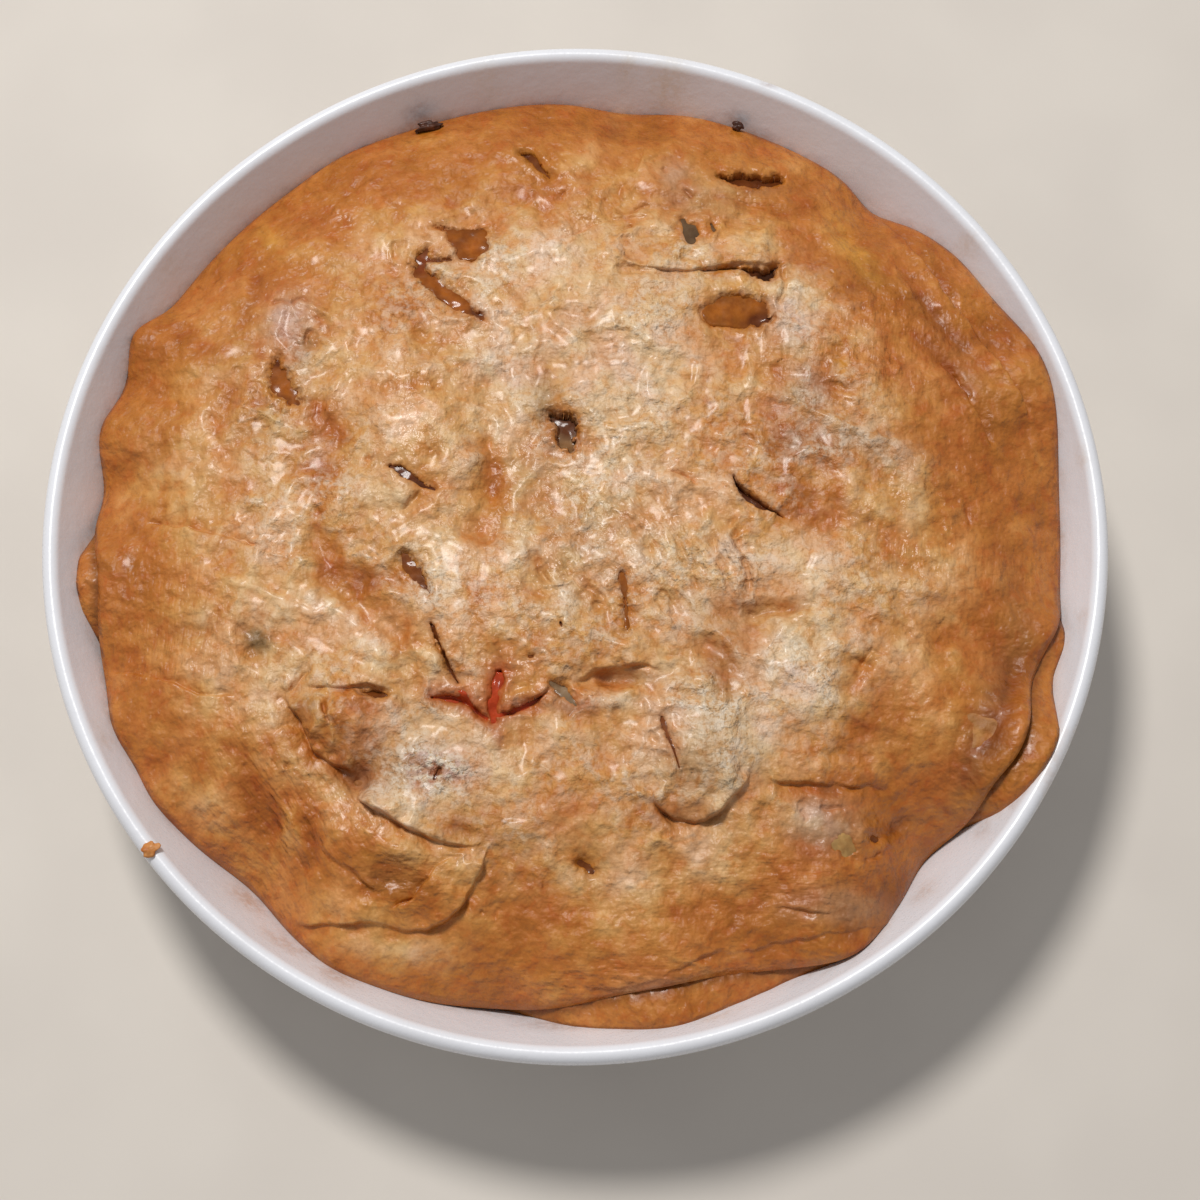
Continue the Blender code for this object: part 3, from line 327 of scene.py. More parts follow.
# Paler (negative) and browner (positive) patches: x, y, half length, half width, heading, change.
# The browner ones in hollows, as at (-5, 22), (34, -38), (-44, -58) and (-80, -33), are partly painted
# shade.
BROWNING = (
    (12, 46, 15, 16, 0, -0.34), (10, 26, 13, 10, 0, -0.28), (-18, 36, 7, 7, 0, -0.42),
    (11, 8, 13, 7, 15, -0.28), (53, 51, 4.5, 9, -10, -0.50), (-3, -20, 7, 7, 0, -0.28),
    (25, -12, 17, 13, 0, -0.20), (50, -36, 12, 9, 0, -0.42), (53, -16, 10, 8, 0, -0.20),
    (27, -53, 14, 12, 0, -0.34), (41, -55, 6, 10, -20, -0.22), (-34, -52, 12, 9, 0, -0.38),
    (-30, -64, 16, 7, 0, -0.36), (-45, -33, 10, 7, -40, -0.30), (-60, -22, 9, 5, -10, -0.25),
    (-68, -4, 8, 9, 0, -0.30), (-76, 18, 9, 11, 0, -0.26), (-43, 3, 6, 4, 0, -0.34),
    (-30, -11, 8, 8, 0, -0.22), (-10, 66, 14, 10, 20, -0.22), (-52, 70, 7, 9, 0, -0.18),
    (31, -78, 7, 8, 0, -0.20), (81, 2, 3.6, 10, 4, -0.34), (73, -33, 7, 5, 0, -0.26),
    (-77, -38, 14, 8, 0, -0.26), (-88, 2, 10, 6, 0, -0.16), (-36, -102, 7, 3, 0, -0.30),
    (50, -8, 6, 6, 0, -0.16), (-92, -62, 6, 9, 30, -0.22), (-20, 20, 6, 5, 0, -0.20),
    (-50, -50, 10, 9, 0, 0.46), (48, 19, 15, 9, 0, 0.30), (62, 1, 18, 8, 8, 0.28),
    (66, -50, 15, 9, 30, 0.32), (-50, -15, 12, 5, -20, 0.34), (-46, 51, 12, 5, 0, 0.22),
    (-59, 2, 4, 14, 0, 0.22), (-19, 12, 3, 12, 5, 0.22), (-23, -19, 5, 8, 0, 0.20),
    (-89, -16, 9, 7, 0, 0.18), (-76, -63, 15, 10, -45, 0.12), (-58, -73, 8, 10, -30, 0.02),
    (0, -73, 22, 6, 0, 0.12), (62, 36, 6, 6, 0, 0.18), (12, -24, 3, 8, 0, 0.20),
    (20, -90, 46, 6, 0, 0.14), (-40, -86, 10, 6, -15, 0.22), (60, -62, 18, 5, 0, 0.20),
    (40, 64, 8, 4, 0, 0.20), (-3, 22, 4, 5, 0, 0.26), (70, 62, 10, 14, 25, 0.16),
    (-50, -61, 6, 5, 0, 0.30), (-100, -50, 14, 10, 0, 0.04), (40, 45, 9, 5, 0, 0.10),
    (-74, 34, 16, 18, 0, 0.20), (-60, 14, 7, 12, 0, 0.26), (-40, 53, 9, 6, 0, 0.24),
    (-88, 42, 9, 9, 0, 0.22), (60, 31, 8, 7, 0, 0.26), (62, 14, 22, 9, 0, 0.18),
    (34, -38, 7, 9, 0, 0.42), (-80, -33, 11, 9, 0, 0.24), (-44, -58, 7, 7, 0, 0.26),
    (-74, -12, 12, 8, 0, 0.14), (-5, 22, 7, 9, 0, 0.30), (-2, -44, 7, 5, 0, 0.24),
    (-74, -74, 16, 12, -45, -0.18), (-86, -66, 8, 7, 0, -0.20), (-46, -98, 18, 8, -15, -0.16),
    (26, -87, 18, 5, 3, -0.20), (38, 74, 9, 5, 0, 0.30), (-14, 86, 26, 7, 0, 0.16),
    (26, 84, 16, 7, 0, 0.12), (-100, 0, 8, 10, 0, 0.14), (90, 0, 8, 20, 0, -0.12),
    (84, -46, 6, 8, 0, -0.14), (-20, -74, 12, 5, 0, 0.16), (-60, 60, 12, 5, 0, 0.10),
    (44, -8, 7, 5, 0, 0.16), (78, -24, 5, 5, 0, 0.14), (0, -62, 16, 7, 0, 0.14),
    (91, 56, 9, 9, 0, 0.20), (72, -87, 10, 6, 20, 0.16), (54, -96, 16, 5, 8, 0.16),
    (-5, -46, 6, 5, 0, 0.18), (88, -54, 6, 8, -25, -0.16), (35, -76, 7, 4, 0, -0.18),
    (98, -52, 4, 10, -25, 0.20), (-56, -46, 7, 6, 0, 0.10), (-70, 53, 7, 8, 0, 0.14),
    (-78, 8, 10, 10, 0, 0.14), (-100, 0, 6, 20, 0, 0.10), (-78, 22, 12, 12, 0, 0.12),
    (100, 24, 6, 14, 0, 0.12), (38, 42, 9, 8, 0, 0.08), (18, -47, 8, 5, 0, 0.08),
    (-86, -52, 9, 8, -30, -0.06),
)
# Painted shade laid into the grooves of folds and cracks.
GROOVE_SHADE_BROWN = (0.36, 0.135, 0.032)
JUICE_BROWN = (0.44, 0.16, 0.022)
JUICE_RED = (0.45, 0.07, 0.015)
# Soaked pastry on the openings' walls, painted lighter as the glow of light shining through it.
WALL_BROWN_AND_GLOW = (0.62, 0.26, 0.06)
RIGHT_RIM_BROWN = (0.47, 0.160, 0.022)
# Painted light and shade: how much lighter each millimetre above the skin is, and darker each one below, by
# colour.
RAISED_LIGHT_HOLLOW_SHADE = (0.06, 0.13, 0.23)
# Stains, and painted shade in the rows coloured SHADE: x, y, half length, half width, heading, colour,
# strength. They are laid on lighter by this share, because the mottling over them darkens them again.
STAIN_AND_SHADE_SHARE = 0.9
BLUSH = (0.40, 0.235, 0.175)
ASH = (0.38, 0.28, 0.205)
FLOUR = (0.66, 0.50, 0.37)
AMBER = (0.46, 0.19, 0.03)
YOLK = (0.60, 0.30, 0.045)
RUST = (0.34, 0.045, 0.012)
MOSS = (0.14, 0.095, 0.038)
# Painted shade, for hollows, fold caves and under curled edges.
SHADE = (0.16, 0.065, 0.02)
TOAST = (0.26, 0.10, 0.024)
PUTTY = (0.33, 0.25, 0.16)
STAINS_AND_SHADE = (
    (-69.5, 50, 6, 7, 0, BLUSH, 0.75), (-66, 41, 2.4, 7, 0, ASH, 0.5),
    (-72, 24, 8, 6, 0, PUTTY, 0.25), (-35, -60, 10, 5.5, 0, BLUSH, 0.72),
    (-28, -62, 6, 3, 0, BLUSH, 0.5), (-35, -60, 7, 4, 0, ASH, 0.35), (29, -60, 9, 7, 0, ASH, 0.50),
    (33, -50, 7, 6, 0, ASH, 0.30), (-74, -29.5, 3.4, 2.6, -40, MOSS, 0.78),
    (57, -73, 8, 5, 0, ASH, 0.55), (53, -71, 3.5, 3, 0, FLOUR, 0.5),
    (54, 52, 4.5, 9, -8, FLOUR, 0.55), (52, 46, 5, 6, 0, BLUSH, 0.30), (55, 31, 5, 6, 0, ASH, 0.55),
    (57, 64, 5, 3, -20, RUST, 0.18), (69, 71, 3.0, 9, 25, YOLK, 0.65),
    (64, 38, 2.5, 3.5, 0, YOLK, 0.55), (-76, 76, 2.4, 5, 30, YOLK, 0.4),
    (50, -38, 11, 7, 0, FLOUR, 0.45), (29, -49, 10, 8, 0, FLOUR, 0.40),
    (-36, -50, 10, 6, 0, FLOUR, 0.42), (-40, -67, 11, 3, -15, FLOUR, 0.45),
    (12, 44, 13, 15, 0, FLOUR, 0.30), (10, 25, 10, 9, 0, FLOUR, 0.30),
    (-18, 36, 6, 6, 0, FLOUR, 0.45), (-50, -62, 6, 4, -25, SHADE, 0.30),
    (98, -42, 4, 15, -25, SHADE, 0.55), (93, -58, 3, 8, -30, SHADE, 0.45),
    (104, -20, 4, 14, 8, TOAST, 0.40), (92, 43, 4, 16, 30, TOAST, 0.35),
    (-18, -43, 3.0, 7, -8, RUST, 0.50), (-24, -46.6, 7, 2.0, -25, RUST, 0.55),
    (-17.6, -53, 1.3, 4, 15, RUST, 0.5), (-13, -46.8, 5, 1.6, 24, RUST, 0.6),
    (-10.5, -42, 5, 3, 20, YOLK, 0.35), (-36, -64.8, 1.6, 1, 0, RUST, 0.3),
    (-32, -62.6, 1.0, 3.2, -20, RUST, 0.55), (-7, 25, 2.4, 8, 5, PUTTY, 0.60),
    (-10, 10, 7, 5, 0, PUTTY, 0.25), (3, -4, 13, 12, 0, PUTTY, 0.22),
    (34, -26, 10, 8, 0, BLUSH, 0.25), (60, 18, 12, 5, 0, ASH, 0.35), (73, 16, 9, 4, -20, ASH, 0.30),
    (-62, -47, 4, 3, -40, SHADE, 0.35), (25, -71.5, 8, 1.8, 0, SHADE, 0.4),
    (42, -23, 3.5, 1.6, 0, TOAST, 0.55), (52, -22.6, 3, 1.2, 28, TOAST, 0.5),
    (75.5, -71.5, 5, 2.4, 32, SHADE, 0.4), (-42, -85, 7, 3, -15, TOAST, 0.45),
    (3, -82.5, 3.4, 3, -40, AMBER, 0.5), (69, -76.6, 3, 2, 20, AMBER, 0.6),
    (10, 109, 3, 5, 0, TOAST, 0.5), (45, 87.4, 7, 1.6, 8, TOAST, 0.5),
    (-91, -26.5, 5, 2.4, -10, TOAST, 0.35), (41, 57.5, 5, 3, 0, YOLK, 0.5),
    (-69, 26, 4, 4, 0, YOLK, 0.35), (62, -91, 12, 4, 0, ASH, 0.30),
    (-100, 18, 6, 10, 0, TOAST, 0.18), (24, 92, 4, 4, 0, ASH, 0.4), (30, 84, 10, 6, 0, PUTTY, 0.30),
    (34, -38, 5, 8, 0, SHADE, 0.26), (-46, -60, 8, 5, -30, SHADE, 0.24),
    (-20, -75, 12, 3.5, 0, SHADE, 0.18), (-8, 29, 5, 8, 15, SHADE, 0.22),
    (-84, 42, 7, 8, 0, SHADE, 0.14), (-60, 16, 5, 10, 0, SHADE, 0.12),
    (-48, -16, 9, 3, -12, SHADE, 0.16), (38, 74, 8, 4, 0, YOLK, 0.35),
    (52, 16, 6, 12, 0, SHADE, 0.10), (-12, -47, 4, 2, 20, FLOUR, 0.3),
    (-3, -46, 5, 2, -20, PUTTY, 0.4), (12, -39.4, 7, 1.3, 0, PUTTY, 0.5),
    (11, -46, 12, 1.3, -3, FLOUR, 0.5), (-2, -20, 5, 5, 0, FLOUR, 0.3),
    (18, -110, 8, 2.2, 8, ASH, 0.5),
)

# Shinier places: oval and how much more.
SHINY = (((81, 0, 7, 18, 0), 0.5), ((0, -5, 22, 30, 0), 0.4), ((-35, 30, 26, 26, 0), 0.3))

# ---- filling seen in the openings ---------------------------------------------------------------
GRAVY = (0.22, 0.060, 0.008)
BROTH = (0.36, 0.105, 0.008)
CARAMEL = (0.33, 0.088, 0.004)
# Gravy painted darker as the shade inside the deep slits and holes.
SHADED_GRAVY = (0.14, 0.034, 0.005)
GREY_MEAT = (0.30, 0.19, 0.10)
DULL_MEAT = (0.15, 0.085, 0.04)
CARROT_RED = (0.44, 0.048, 0.009)
POTATO_SKIN = (0.41, 0.235, 0.08)
FILLING_TINTS = {
    "hook_patch": CARAMEL, "hook_patch_top": CARAMEL, "hook_patch_low": CARAMEL,
    "hook_neck": GRAVY, "hook_channel": CARAMEL, "north_slit": GRAVY,
    "north_east_slit": SHADED_GRAVY, "torn_hole": DULL_MEAT, "torn_side": DULL_MEAT,
    "torn_nick": DULL_MEAT, "flap_gap": SHADED_GRAVY, "gravy_pool": BROTH,
    "west_pool": CARAMEL, "west_slit": SHADED_GRAVY, "lobe_vent": GRAVY, "middle_hole": GREY_MEAT,
    "east_slit": SHADED_GRAVY, "west_crack": SHADED_GRAVY, "grey_hole": GREY_MEAT,
    "fold_hole": GRAVY, "potato_hole": POTATO_SKIN,
    "basin_slit": BROTH, "south_hole": GRAVY,
}
# Places where it is a different colour and stands lower, the dark ones painted shade in the holes:
# x, y, half length, half width, heading, colour, how much lower.
FILLING_SPOTS = (
    (-2.2, 23.6, 4.2, 3.2, -35, (0.12, 0.034, 0.007), 1.4),
    (-2.4, 17.4, 3.6, 1.4, 5, (0.31, 0.16, 0.06), -0.2),
    (44.2, 49.8, 3.0, 2.2, 20, SHADED_GRAVY, 1.2),
    (-37.6, 65.4, 2.6, 2.2, 80, (0.24, 0.05, 0.005), 0.5),
    (-24.0, 51.4, 1.6, 1.2, -40, SHADED_GRAVY, 0.2),
    (46.4, 62.6, 3.4, 1.8, 40, (0.05, 0.014, 0.004), 0.8),
    (-72.0, 41.0, 2.0, 2.4, 0, SHADED_GRAVY, 0.6), (-13.0, 96.6, 1.6, 1.2, 0, SHADED_GRAVY, 0.3),
)
TINTS = np.array([FILLING_TINTS.get(vent, GRAVY) for vent in VENTS])
FILLING_DROP = 1.4  # how far under the lid the filling stands away from the openings
FILLING_REACH, FILLING_FALL = 0.5, 1.6
# The filling's side and floor: height, and how far inside the wall.
FILLING_RINGS = ((34.0, 5.6), (19.5, 5.4), (FLOOR_THICKNESS + GAP + 4.3, 17.0))
CARROT_VENTS = ("red_west", "red_valley", "red_east")
POTATO_VENTS = ("potato_hole",)
CARROT_AT, CARROT_SIZE, CARROT_TURN = (-20.0, -45.0), (26.0, 15.0, 8.0), -12.0
POTATO_AT, POTATO_SIZE, POTATO_TURN = (62.5, -77.5), (10.0, 10.0, 9.0), 35.0
CHUNK_ROOM = 2.4  # the filling makes this much room round their openings
CHUNK_DEPTH = 1.5


# ---- small helpers ----------------------------------------------------------------------------
def ease(value, low, high):
    """0 below low, 1 above high, and a soft step between them."""
    step = np.clip((value - low) / (high - low), 0.0, 1.0)
    return step * step * (3.0 - 2.0 * step)


def lattice(across, along, seed):
    """A fixed random number from -1 to 1 for each whole place."""
    last = np.uint64(0xFFFFFFFF)
    mixed = across.astype(np.uint64) * np.uint64(374761393)
    mixed = mixed + along.astype(np.uint64) * np.uint64(668265263)
    mixed = (mixed + np.uint64(seed * 1274126177 % 4294967296)) & last
    mixed = ((mixed ^ (mixed >> np.uint64(13))) * np.uint64(1274126177)) & last
    mixed = (mixed ^ (mixed >> np.uint64(16))) * np.uint64(2246822519) & last
    mixed = mixed ^ (mixed >> np.uint64(15))
    return mixed.astype(np.float64) / 2147483647.5 - 1.0


def lumps(x, y, size, seed, octaves=1, fall=0.5):
    """Soft uneven bumps of about this size, from -1 to 1, with finer ones laid over them."""
    total, weight, amount = np.zeros_like(x), 0.0, 1.0
    for octave in range(octaves):
        turn = 0.6 + 1.7 * octave + seed
        u = (x * math.cos(turn) + y * math.sin(turn)) / size + 5000.0
        v = (y * math.cos(turn) - x * math.sin(turn)) / size + 5000.0
        low_u, low_v = np.floor(u), np.floor(v)
        part_u, part_v = u - low_u, v - low_v
        part_u = part_u**3 * (part_u * (part_u * 6 - 15) + 10)
        part_v = part_v**3 * (part_v * (part_v * 6 - 15) + 10)
        sides = []
        for row in (low_v, low_v + 1):
            left, right = lattice(low_u, row, seed + octave), lattice(low_u + 1, row, seed + octave)
            sides.append(left * (1 - part_u) + right * part_u)
        total += amount * (sides[0] * (1 - part_v) + sides[1] * part_v)
        weight += amount
        amount *= fall
        size *= 0.5
    return total / weight


def creases(x, y, size, seed, octaves=2):
    """Thin wandering ridges: 1 on a ridge, falling to 0 beside it."""
    return 1.0 - np.clip(np.abs(lumps(x, y, size, seed, octaves)) * 3.0, 0.0, 1.0)


def curved(points, steps=4):
    """The same line drawn through its points as a smooth curve."""
    rows = [np.array(point, float) for point in points]
    rows = [2 * rows[0] - rows[1]] + rows + [2 * rows[-1] - rows[-2]]
    line = []
    for before, start, end, after in zip(rows, rows[1:], rows[2:], rows[3:]):
        for step in range(steps):
            t = step / steps
            line.append(0.5 * (2 * start + (end - before) * t
                               + (2 * before - 5 * start + 4 * end - after) * t**2
                               + (3 * start - before - 3 * end + after) * t**3))
    line.append(rows[-2])
    return line


def around_line(x, y, points, reach):
    """Which places lie within reach of the line's box."""
    low, high = np.min(points, axis=0) - reach, np.max(points, axis=0) + reach
    return np.nonzero((x > low[0]) & (x < high[0]) & (y > low[1]) & (y < high[1]))[0]


def beside(x, y, line):
    """Millimetres left of the line, millimetres along it, its length and its right-hand side."""
    nearest = np.full_like(x, 1e9)
    across, along, right_x, right_y = (np.zeros_like(x) for _ in range(4))
    run = 0.0
    for start, end in zip(line, line[1:]):
        length = math.hypot(*(end[:2] - start[:2]))
        forward = (end[:2] - start[:2]) / length
        from_x, from_y = x - start[0], y - start[1]
        step = np.clip(from_x * forward[0] + from_y * forward[1], 0.0, length)
        away = np.hypot(from_x - step * forward[0], from_y - step * forward[1])
        closer = away < nearest
        nearest = np.where(closer, away, nearest)
        left = np.where(forward[0] * from_y - forward[1] * from_x >= 0, away, -away)
        across = np.where(closer, left, across)
        along = np.where(closer, run + step, along)
        right_x = np.where(closer, forward[1], right_x)
        right_y = np.where(closer, -forward[0], right_y)
        run += length
    return across, along, run, right_x, right_y


def tapered(along, run, most=4.0):
    """1 along a line, easing to 0 at both of its ends."""
    taper = min(0.3 * run, most)
    return ease(np.minimum(along, run - along), 0.0, taper)


def patch(x, y, row):
    """1 in the middle of an oval patch, fading to 0 outside it."""
    at_x, at_y, half_length, half_width, heading = row[:5]
    turn = math.radians(heading)
    along = (x - at_x) * math.cos(turn) + (y - at_y) * math.sin(turn)
    across = (y - at_y) * math.cos(turn) - (x - at_x) * math.sin(turn)
    return np.exp(-((along / half_length) ** 2) - (across / half_width) ** 2)


def toward(colour, other, amount):
    """The colours drawn by these amounts toward the other one."""
    return colour + (np.array(other) - colour) * amount[:, None]


def between(start, end, parts):
    """The points that cut the straight way from start to end into equal parts."""
    shares = [i / parts for i in range(1, parts)]
    return [tuple(a + (b - a) * share for a, b in zip(start, end)) for share in shares]


# ---- shape of the pastry ------------------------------------------------------------------------
def wall_radius(height):
    return MOUTH_RADIUS - WALL_SLOPE * (MOUTH_HEIGHT - height)


def wall_height(radius):
    return MOUTH_HEIGHT - (MOUTH_RADIUS - radius) / WALL_SLOPE


def sum_of_lobes(degrees, lobes):
    total = np.zeros_like(degrees)
    for angle, half_width, size in lobes:
        away = (degrees - angle + 180.0) % 360.0 - 180.0
        total += size * np.exp(-((away / half_width) ** 2))
    return total


def outline_radius(degrees):
    return PIE_RADIUS + sum_of_lobes(degrees, OUTLINE_LOBES)


def lid_radius(degrees):
    return outline_radius(degrees) - sum_of_lobes(degrees, LID_INSETS)


def rim_shows(degrees):
    """0 where the lid covers the bottom crust's rim, 1 where the rim shows in full."""
    return np.clip(sum_of_lobes(degrees, LID_INSETS) / INSET_TO_SHOW, 0.0, 1.0)


def polar(x, y):
    return np.hypot(x, y), np.degrees(np.arctan2(y, x)) % 360.0


def edge_height(degrees):
    contact = wall_height(outline_radius(degrees) + GAP)
    return contact + LID_EDGE_RISE + RIM_STRIP_RISE * rim_shows(degrees)


def dome(x, y):
    radius, degrees = polar(x, y)
    share = np.clip(radius / lid_radius(degrees), 0.0, 1.0)
    plain = PIE_TOP - (PIE_TOP - MEAN_EDGE_HEIGHT) * share**DOME_POWER
    return plain + (edge_height(degrees) - MEAN_EDGE_HEIGHT) * share**EDGE_POWER, share


def swelling(x, y, narrowest=0.0):
    total = np.zeros_like(x)
    for row in SWELLINGS:
        if row[3] >= narrowest:
            total += row[5] * patch(x, y, row)
    return total


def fold_relief(x, y):
    """Height added by the folds, and the sideways lean of their lips."""
    height, lean_x, lean_y = (np.zeros_like(x) for _ in range(3))
    for points, step, groove, overhang in FOLDS.values():
        near = around_line(x, y, points, 14.0)
        if not len(near):
            continue
        at_x, at_y = x[near], y[near]
        across, along, run, right_x, right_y = beside(at_x, at_y, curved(points))
        across = across + 0.35 * lumps(at_x, at_y, 2.4, 31, 2) + 0.7 * lumps(at_x, at_y, 7.0, 35, 2)
        kept = tapered(along, run) * (0.85 + 0.75 * lumps(at_x, at_y, 7.0, 33, 2))
        raised = 0.5 + 0.5 * np.tanh(across / FOLD_SHARPNESS)
        lip = step * np.exp(-np.maximum(across, 0.0) / FOLD_LIP_REACH)
        drop = groove * np.exp(np.minimum(across, 0.0) / FOLD_GROOVE_REACH)
        height[near] += kept * (raised * lip - (1.0 - raised) * drop)
        push = overhang * kept * np.exp(-(((across - 0.5) / 0.8) ** 2))
        lean_x[near] += push * right_x
        lean_y[near] += push * right_y
    return height, lean_x, lean_y


def ridge_relief(x, y):
    total = np.zeros_like(x)
    for points, half_width, size in RIDGES:
        near = around_line(x, y, points, 2.6 * half_width + 2.0)
        across, along, run, _, _ = beside(x[near], y[near], curved(points))
        across = across + 0.3 * half_width * lumps(x[near], y[near], 4.5, 37, 2)
        kept = tapered(along, run, 5.0) * (0.9 + 0.4 * lumps(x[near], y[near], 6.0, 41, 2))
        total[near] += size * kept * np.exp(-((across / half_width) ** 2))
    return total


def crack_relief(x, y):
    total = np.zeros_like(x)
    for points, half_width, depth in CRACKS:
        near = around_line(x, y, points, 4.0)
        across, along, run, _, _ = beside(x[near], y[near], curved(points))
        across = across + 0.25 * lumps(x[near], y[near], 1.8, 47, 2)
        across = across / (half_width * 1.5)
        total[near] -= depth * tapered(along, run, 2.0) * np.exp(-(across**2))
    return total


def vent_gap(x, y, names=None, ragged=RAGGEDNESS):
    """Millimetres outside the nearest opening, less than 0 inside it, and which one it is."""
    gap = np.full_like(x, 99.0)
    nearest = np.zeros(len(x), int)
    for index, (name, chain) in enumerate(CHAINS.items()):
        if names and name not in names:
            continue
        near = around_line(x, y, np.array(chain)[:, :2], 9.0)
        line = curved(chain)
        here = np.full(len(near), 99.0)
        for start, end in zip(line, line[1:]):
            forward = end[:2] - start[:2]
            square = max(float(forward @ forward), 1e-9)
            from_x, from_y = x[near] - start[0], y[near] - start[1]
            step = np.clip((from_x * forward[0] + from_y * forward[1]) / square, 0.0, 1.0)
            away = np.hypot(from_x - step * forward[0], from_y - step * forward[1])
            width = np.maximum(start[2] + (end[2] - start[2]) * step, 0.12)
            wander = ragged * np.clip(width, 0.25, 1.4) * lumps(x[near], y[near], 1.5, 71, 2)
            here = np.minimum(here, away - width + wander)
        closer = here < gap[near]
        gap[near[closer]] = here[closer]
        nearest[near[closer]] = index
    return gap, nearest


def gap_slope(x, y, small, ragged=RAGGEDNESS):
    """How fast the way to the nearest opening grows toward +X and toward +Y."""
    gap = vent_gap(x, y, ragged=ragged)[0]
    slope_x = (vent_gap(x + small, y, ragged=ragged)[0] - gap) / small
    slope_y = (vent_gap(x, y + small, ragged=ragged)[0] - gap) / small
    return slope_x, slope_y


def skin(x, y):
    """Unevenness of the baked face: soft lumps, crumpled facets, and ridges pulled out in lines."""
    total = 0.72 * lumps(x, y, 13.0, 3, 2) + 0.32 * lumps(x, y, 5.0, 9, 2)
    radius, degrees = polar(x, y)
    calm = 1.0 - 0.75 * ease(radius, 78.0, 98.0)
    bent = 1.6 * lumps(x, y, 9.0, 19, 2)
    crumple = creases(x + bent, y - bent, 10.0, 21, 1)
    crumple = crumple + 0.6 * creases(x - bent, y + bent, 5.0, 23, 1)
    total += (0.72 * crumple - 0.45) * calm
    for at, heading, size, height in PULLED:
        turn = math.radians(heading)
        along = x * math.cos(turn) + y * math.sin(turn) + bent
        across = y * math.cos(turn) - x * math.sin(turn) + 0.6 * bent
        ridges = creases(along * 0.22, across, size, 27, 1)
        ridges = ridges + 0.4 * lumps(along * 0.3, across, size * 0.6, 29, 1)
        total += height * (ridges - 0.4) * patch(x, y, at + (heading,))
    rolling = ease(radius, 96.0, 112.0)
    total += rolling * 0.55 * lumps(degrees * 1.9, radius * 0.30, 9.0, 39, 2)
    return total


def lid_face(x, y):
    """Height of the lid's face with its large forms and folds, and the lean of the lips."""
    height, share = dome(x, y)
    folds, lean_x, lean_y = fold_relief(x, y)
    height = height + swelling(x, y) * (1.0 - share**8) + FOLD_DEPTH * folds * (1.0 - share**16)
    inside = lid_radius(polar(x, y)[1]) * (1.0 - share)
    roll = np.clip(1.0 - inside / EDGE_ROUNDING, 0.0, 1.0)
    height = height - EDGE_ROLL * (1.0 - np.sqrt(1.0 - roll**2))
    return height, lean_x, lean_y


def lid_underside(x, y):
    height, share = dome(x, y)
    return height + swelling(x, y, narrowest=10.5) * (1.0 - share**8) - UNDERSIDE_DEPTH


# ---- pieces by hand -----------------------------------------------------------------------------
def deselect():
    if bpy.context.mode != "OBJECT":
        bpy.ops.object.mode_set(mode="OBJECT")
    bpy.ops.object.select_all(action="DESELECT")


def add_object(name, data):
    made = bpy.data.objects.new(name, data)
    bpy.context.scene.collection.objects.link(made)
    return made


def pick(piece):
    deselect()
    piece.select_set(True)
    bpy.context.view_layer.objects.active = piece


def as_piece(name, node, finish):
    """Names the new active object, gives it its material and hangs it on the frame's body."""
    piece = bpy.context.active_object
    piece.name = name
    piece.data.name = name
    piece.data.materials.clear()
    piece.data.materials.append(finish)
    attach(piece, "root")
    if node:
        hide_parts(node)
    return piece


def places(mesh):
    """The mesh's points in millimetres."""
    flat = np.zeros(len(mesh.vertices) * 3)
    mesh.vertices.foreach_get("co", flat)
    return flat.reshape(-1, 3) / MM


def set_places(mesh, points):
    mesh.vertices.foreach_set("co", (np.asarray(points) * MM).ravel())
    mesh.update()


def corners_of(mesh):
    mesh.calc_loop_triangles()
    flat = np.zeros(len(mesh.loop_triangles) * 3, int)
    mesh.loop_triangles.foreach_get("vertices", flat)
    return flat.reshape(-1, 3)


def pick_faces(mesh, chosen):
    mesh.vertices.foreach_set("select", np.zeros(len(mesh.vertices), bool))
    mesh.edges.foreach_set("select", np.zeros(len(mesh.edges), bool))
    mesh.polygons.foreach_set("select", np.asarray(chosen, bool))
    mesh.update()


def edit(select="FACE"):
    bpy.ops.object.mode_set(mode="EDIT")
    bpy.ops.mesh.select_mode(type=select)


def to_object():
    bpy.ops.object.mode_set(mode="OBJECT")


def apply_modifier(piece, name, kind, **settings):
    made = piece.modifiers.new(name, kind)
    for setting, value in settings.items():
        setattr(made, setting, value)
    bpy.ops.object.modifier_apply(modifier=made.name)


def draw_rings(count, step):
    """Extrudes the open edge ring by ring, then closes the last ring round a middle point."""
    edit("EDGE")
    bpy.ops.mesh.select_all(action="DESELECT")
    bpy.ops.mesh.select_non_manifold()
    for _ in range(count):
        bpy.ops.mesh.extrude_region_move(TRANSFORM_OT_translate={"value": (0, 0, step)})
    bpy.ops.mesh.edge_face_add()
    bpy.ops.mesh.select_mode(type="FACE")
    bpy.ops.mesh.poke()
    to_object()


def face_outwards():
    edit()
    bpy.ops.mesh.select_all(action="SELECT")
    bpy.ops.mesh.normals_make_consistent(inside=False)
    to_object()


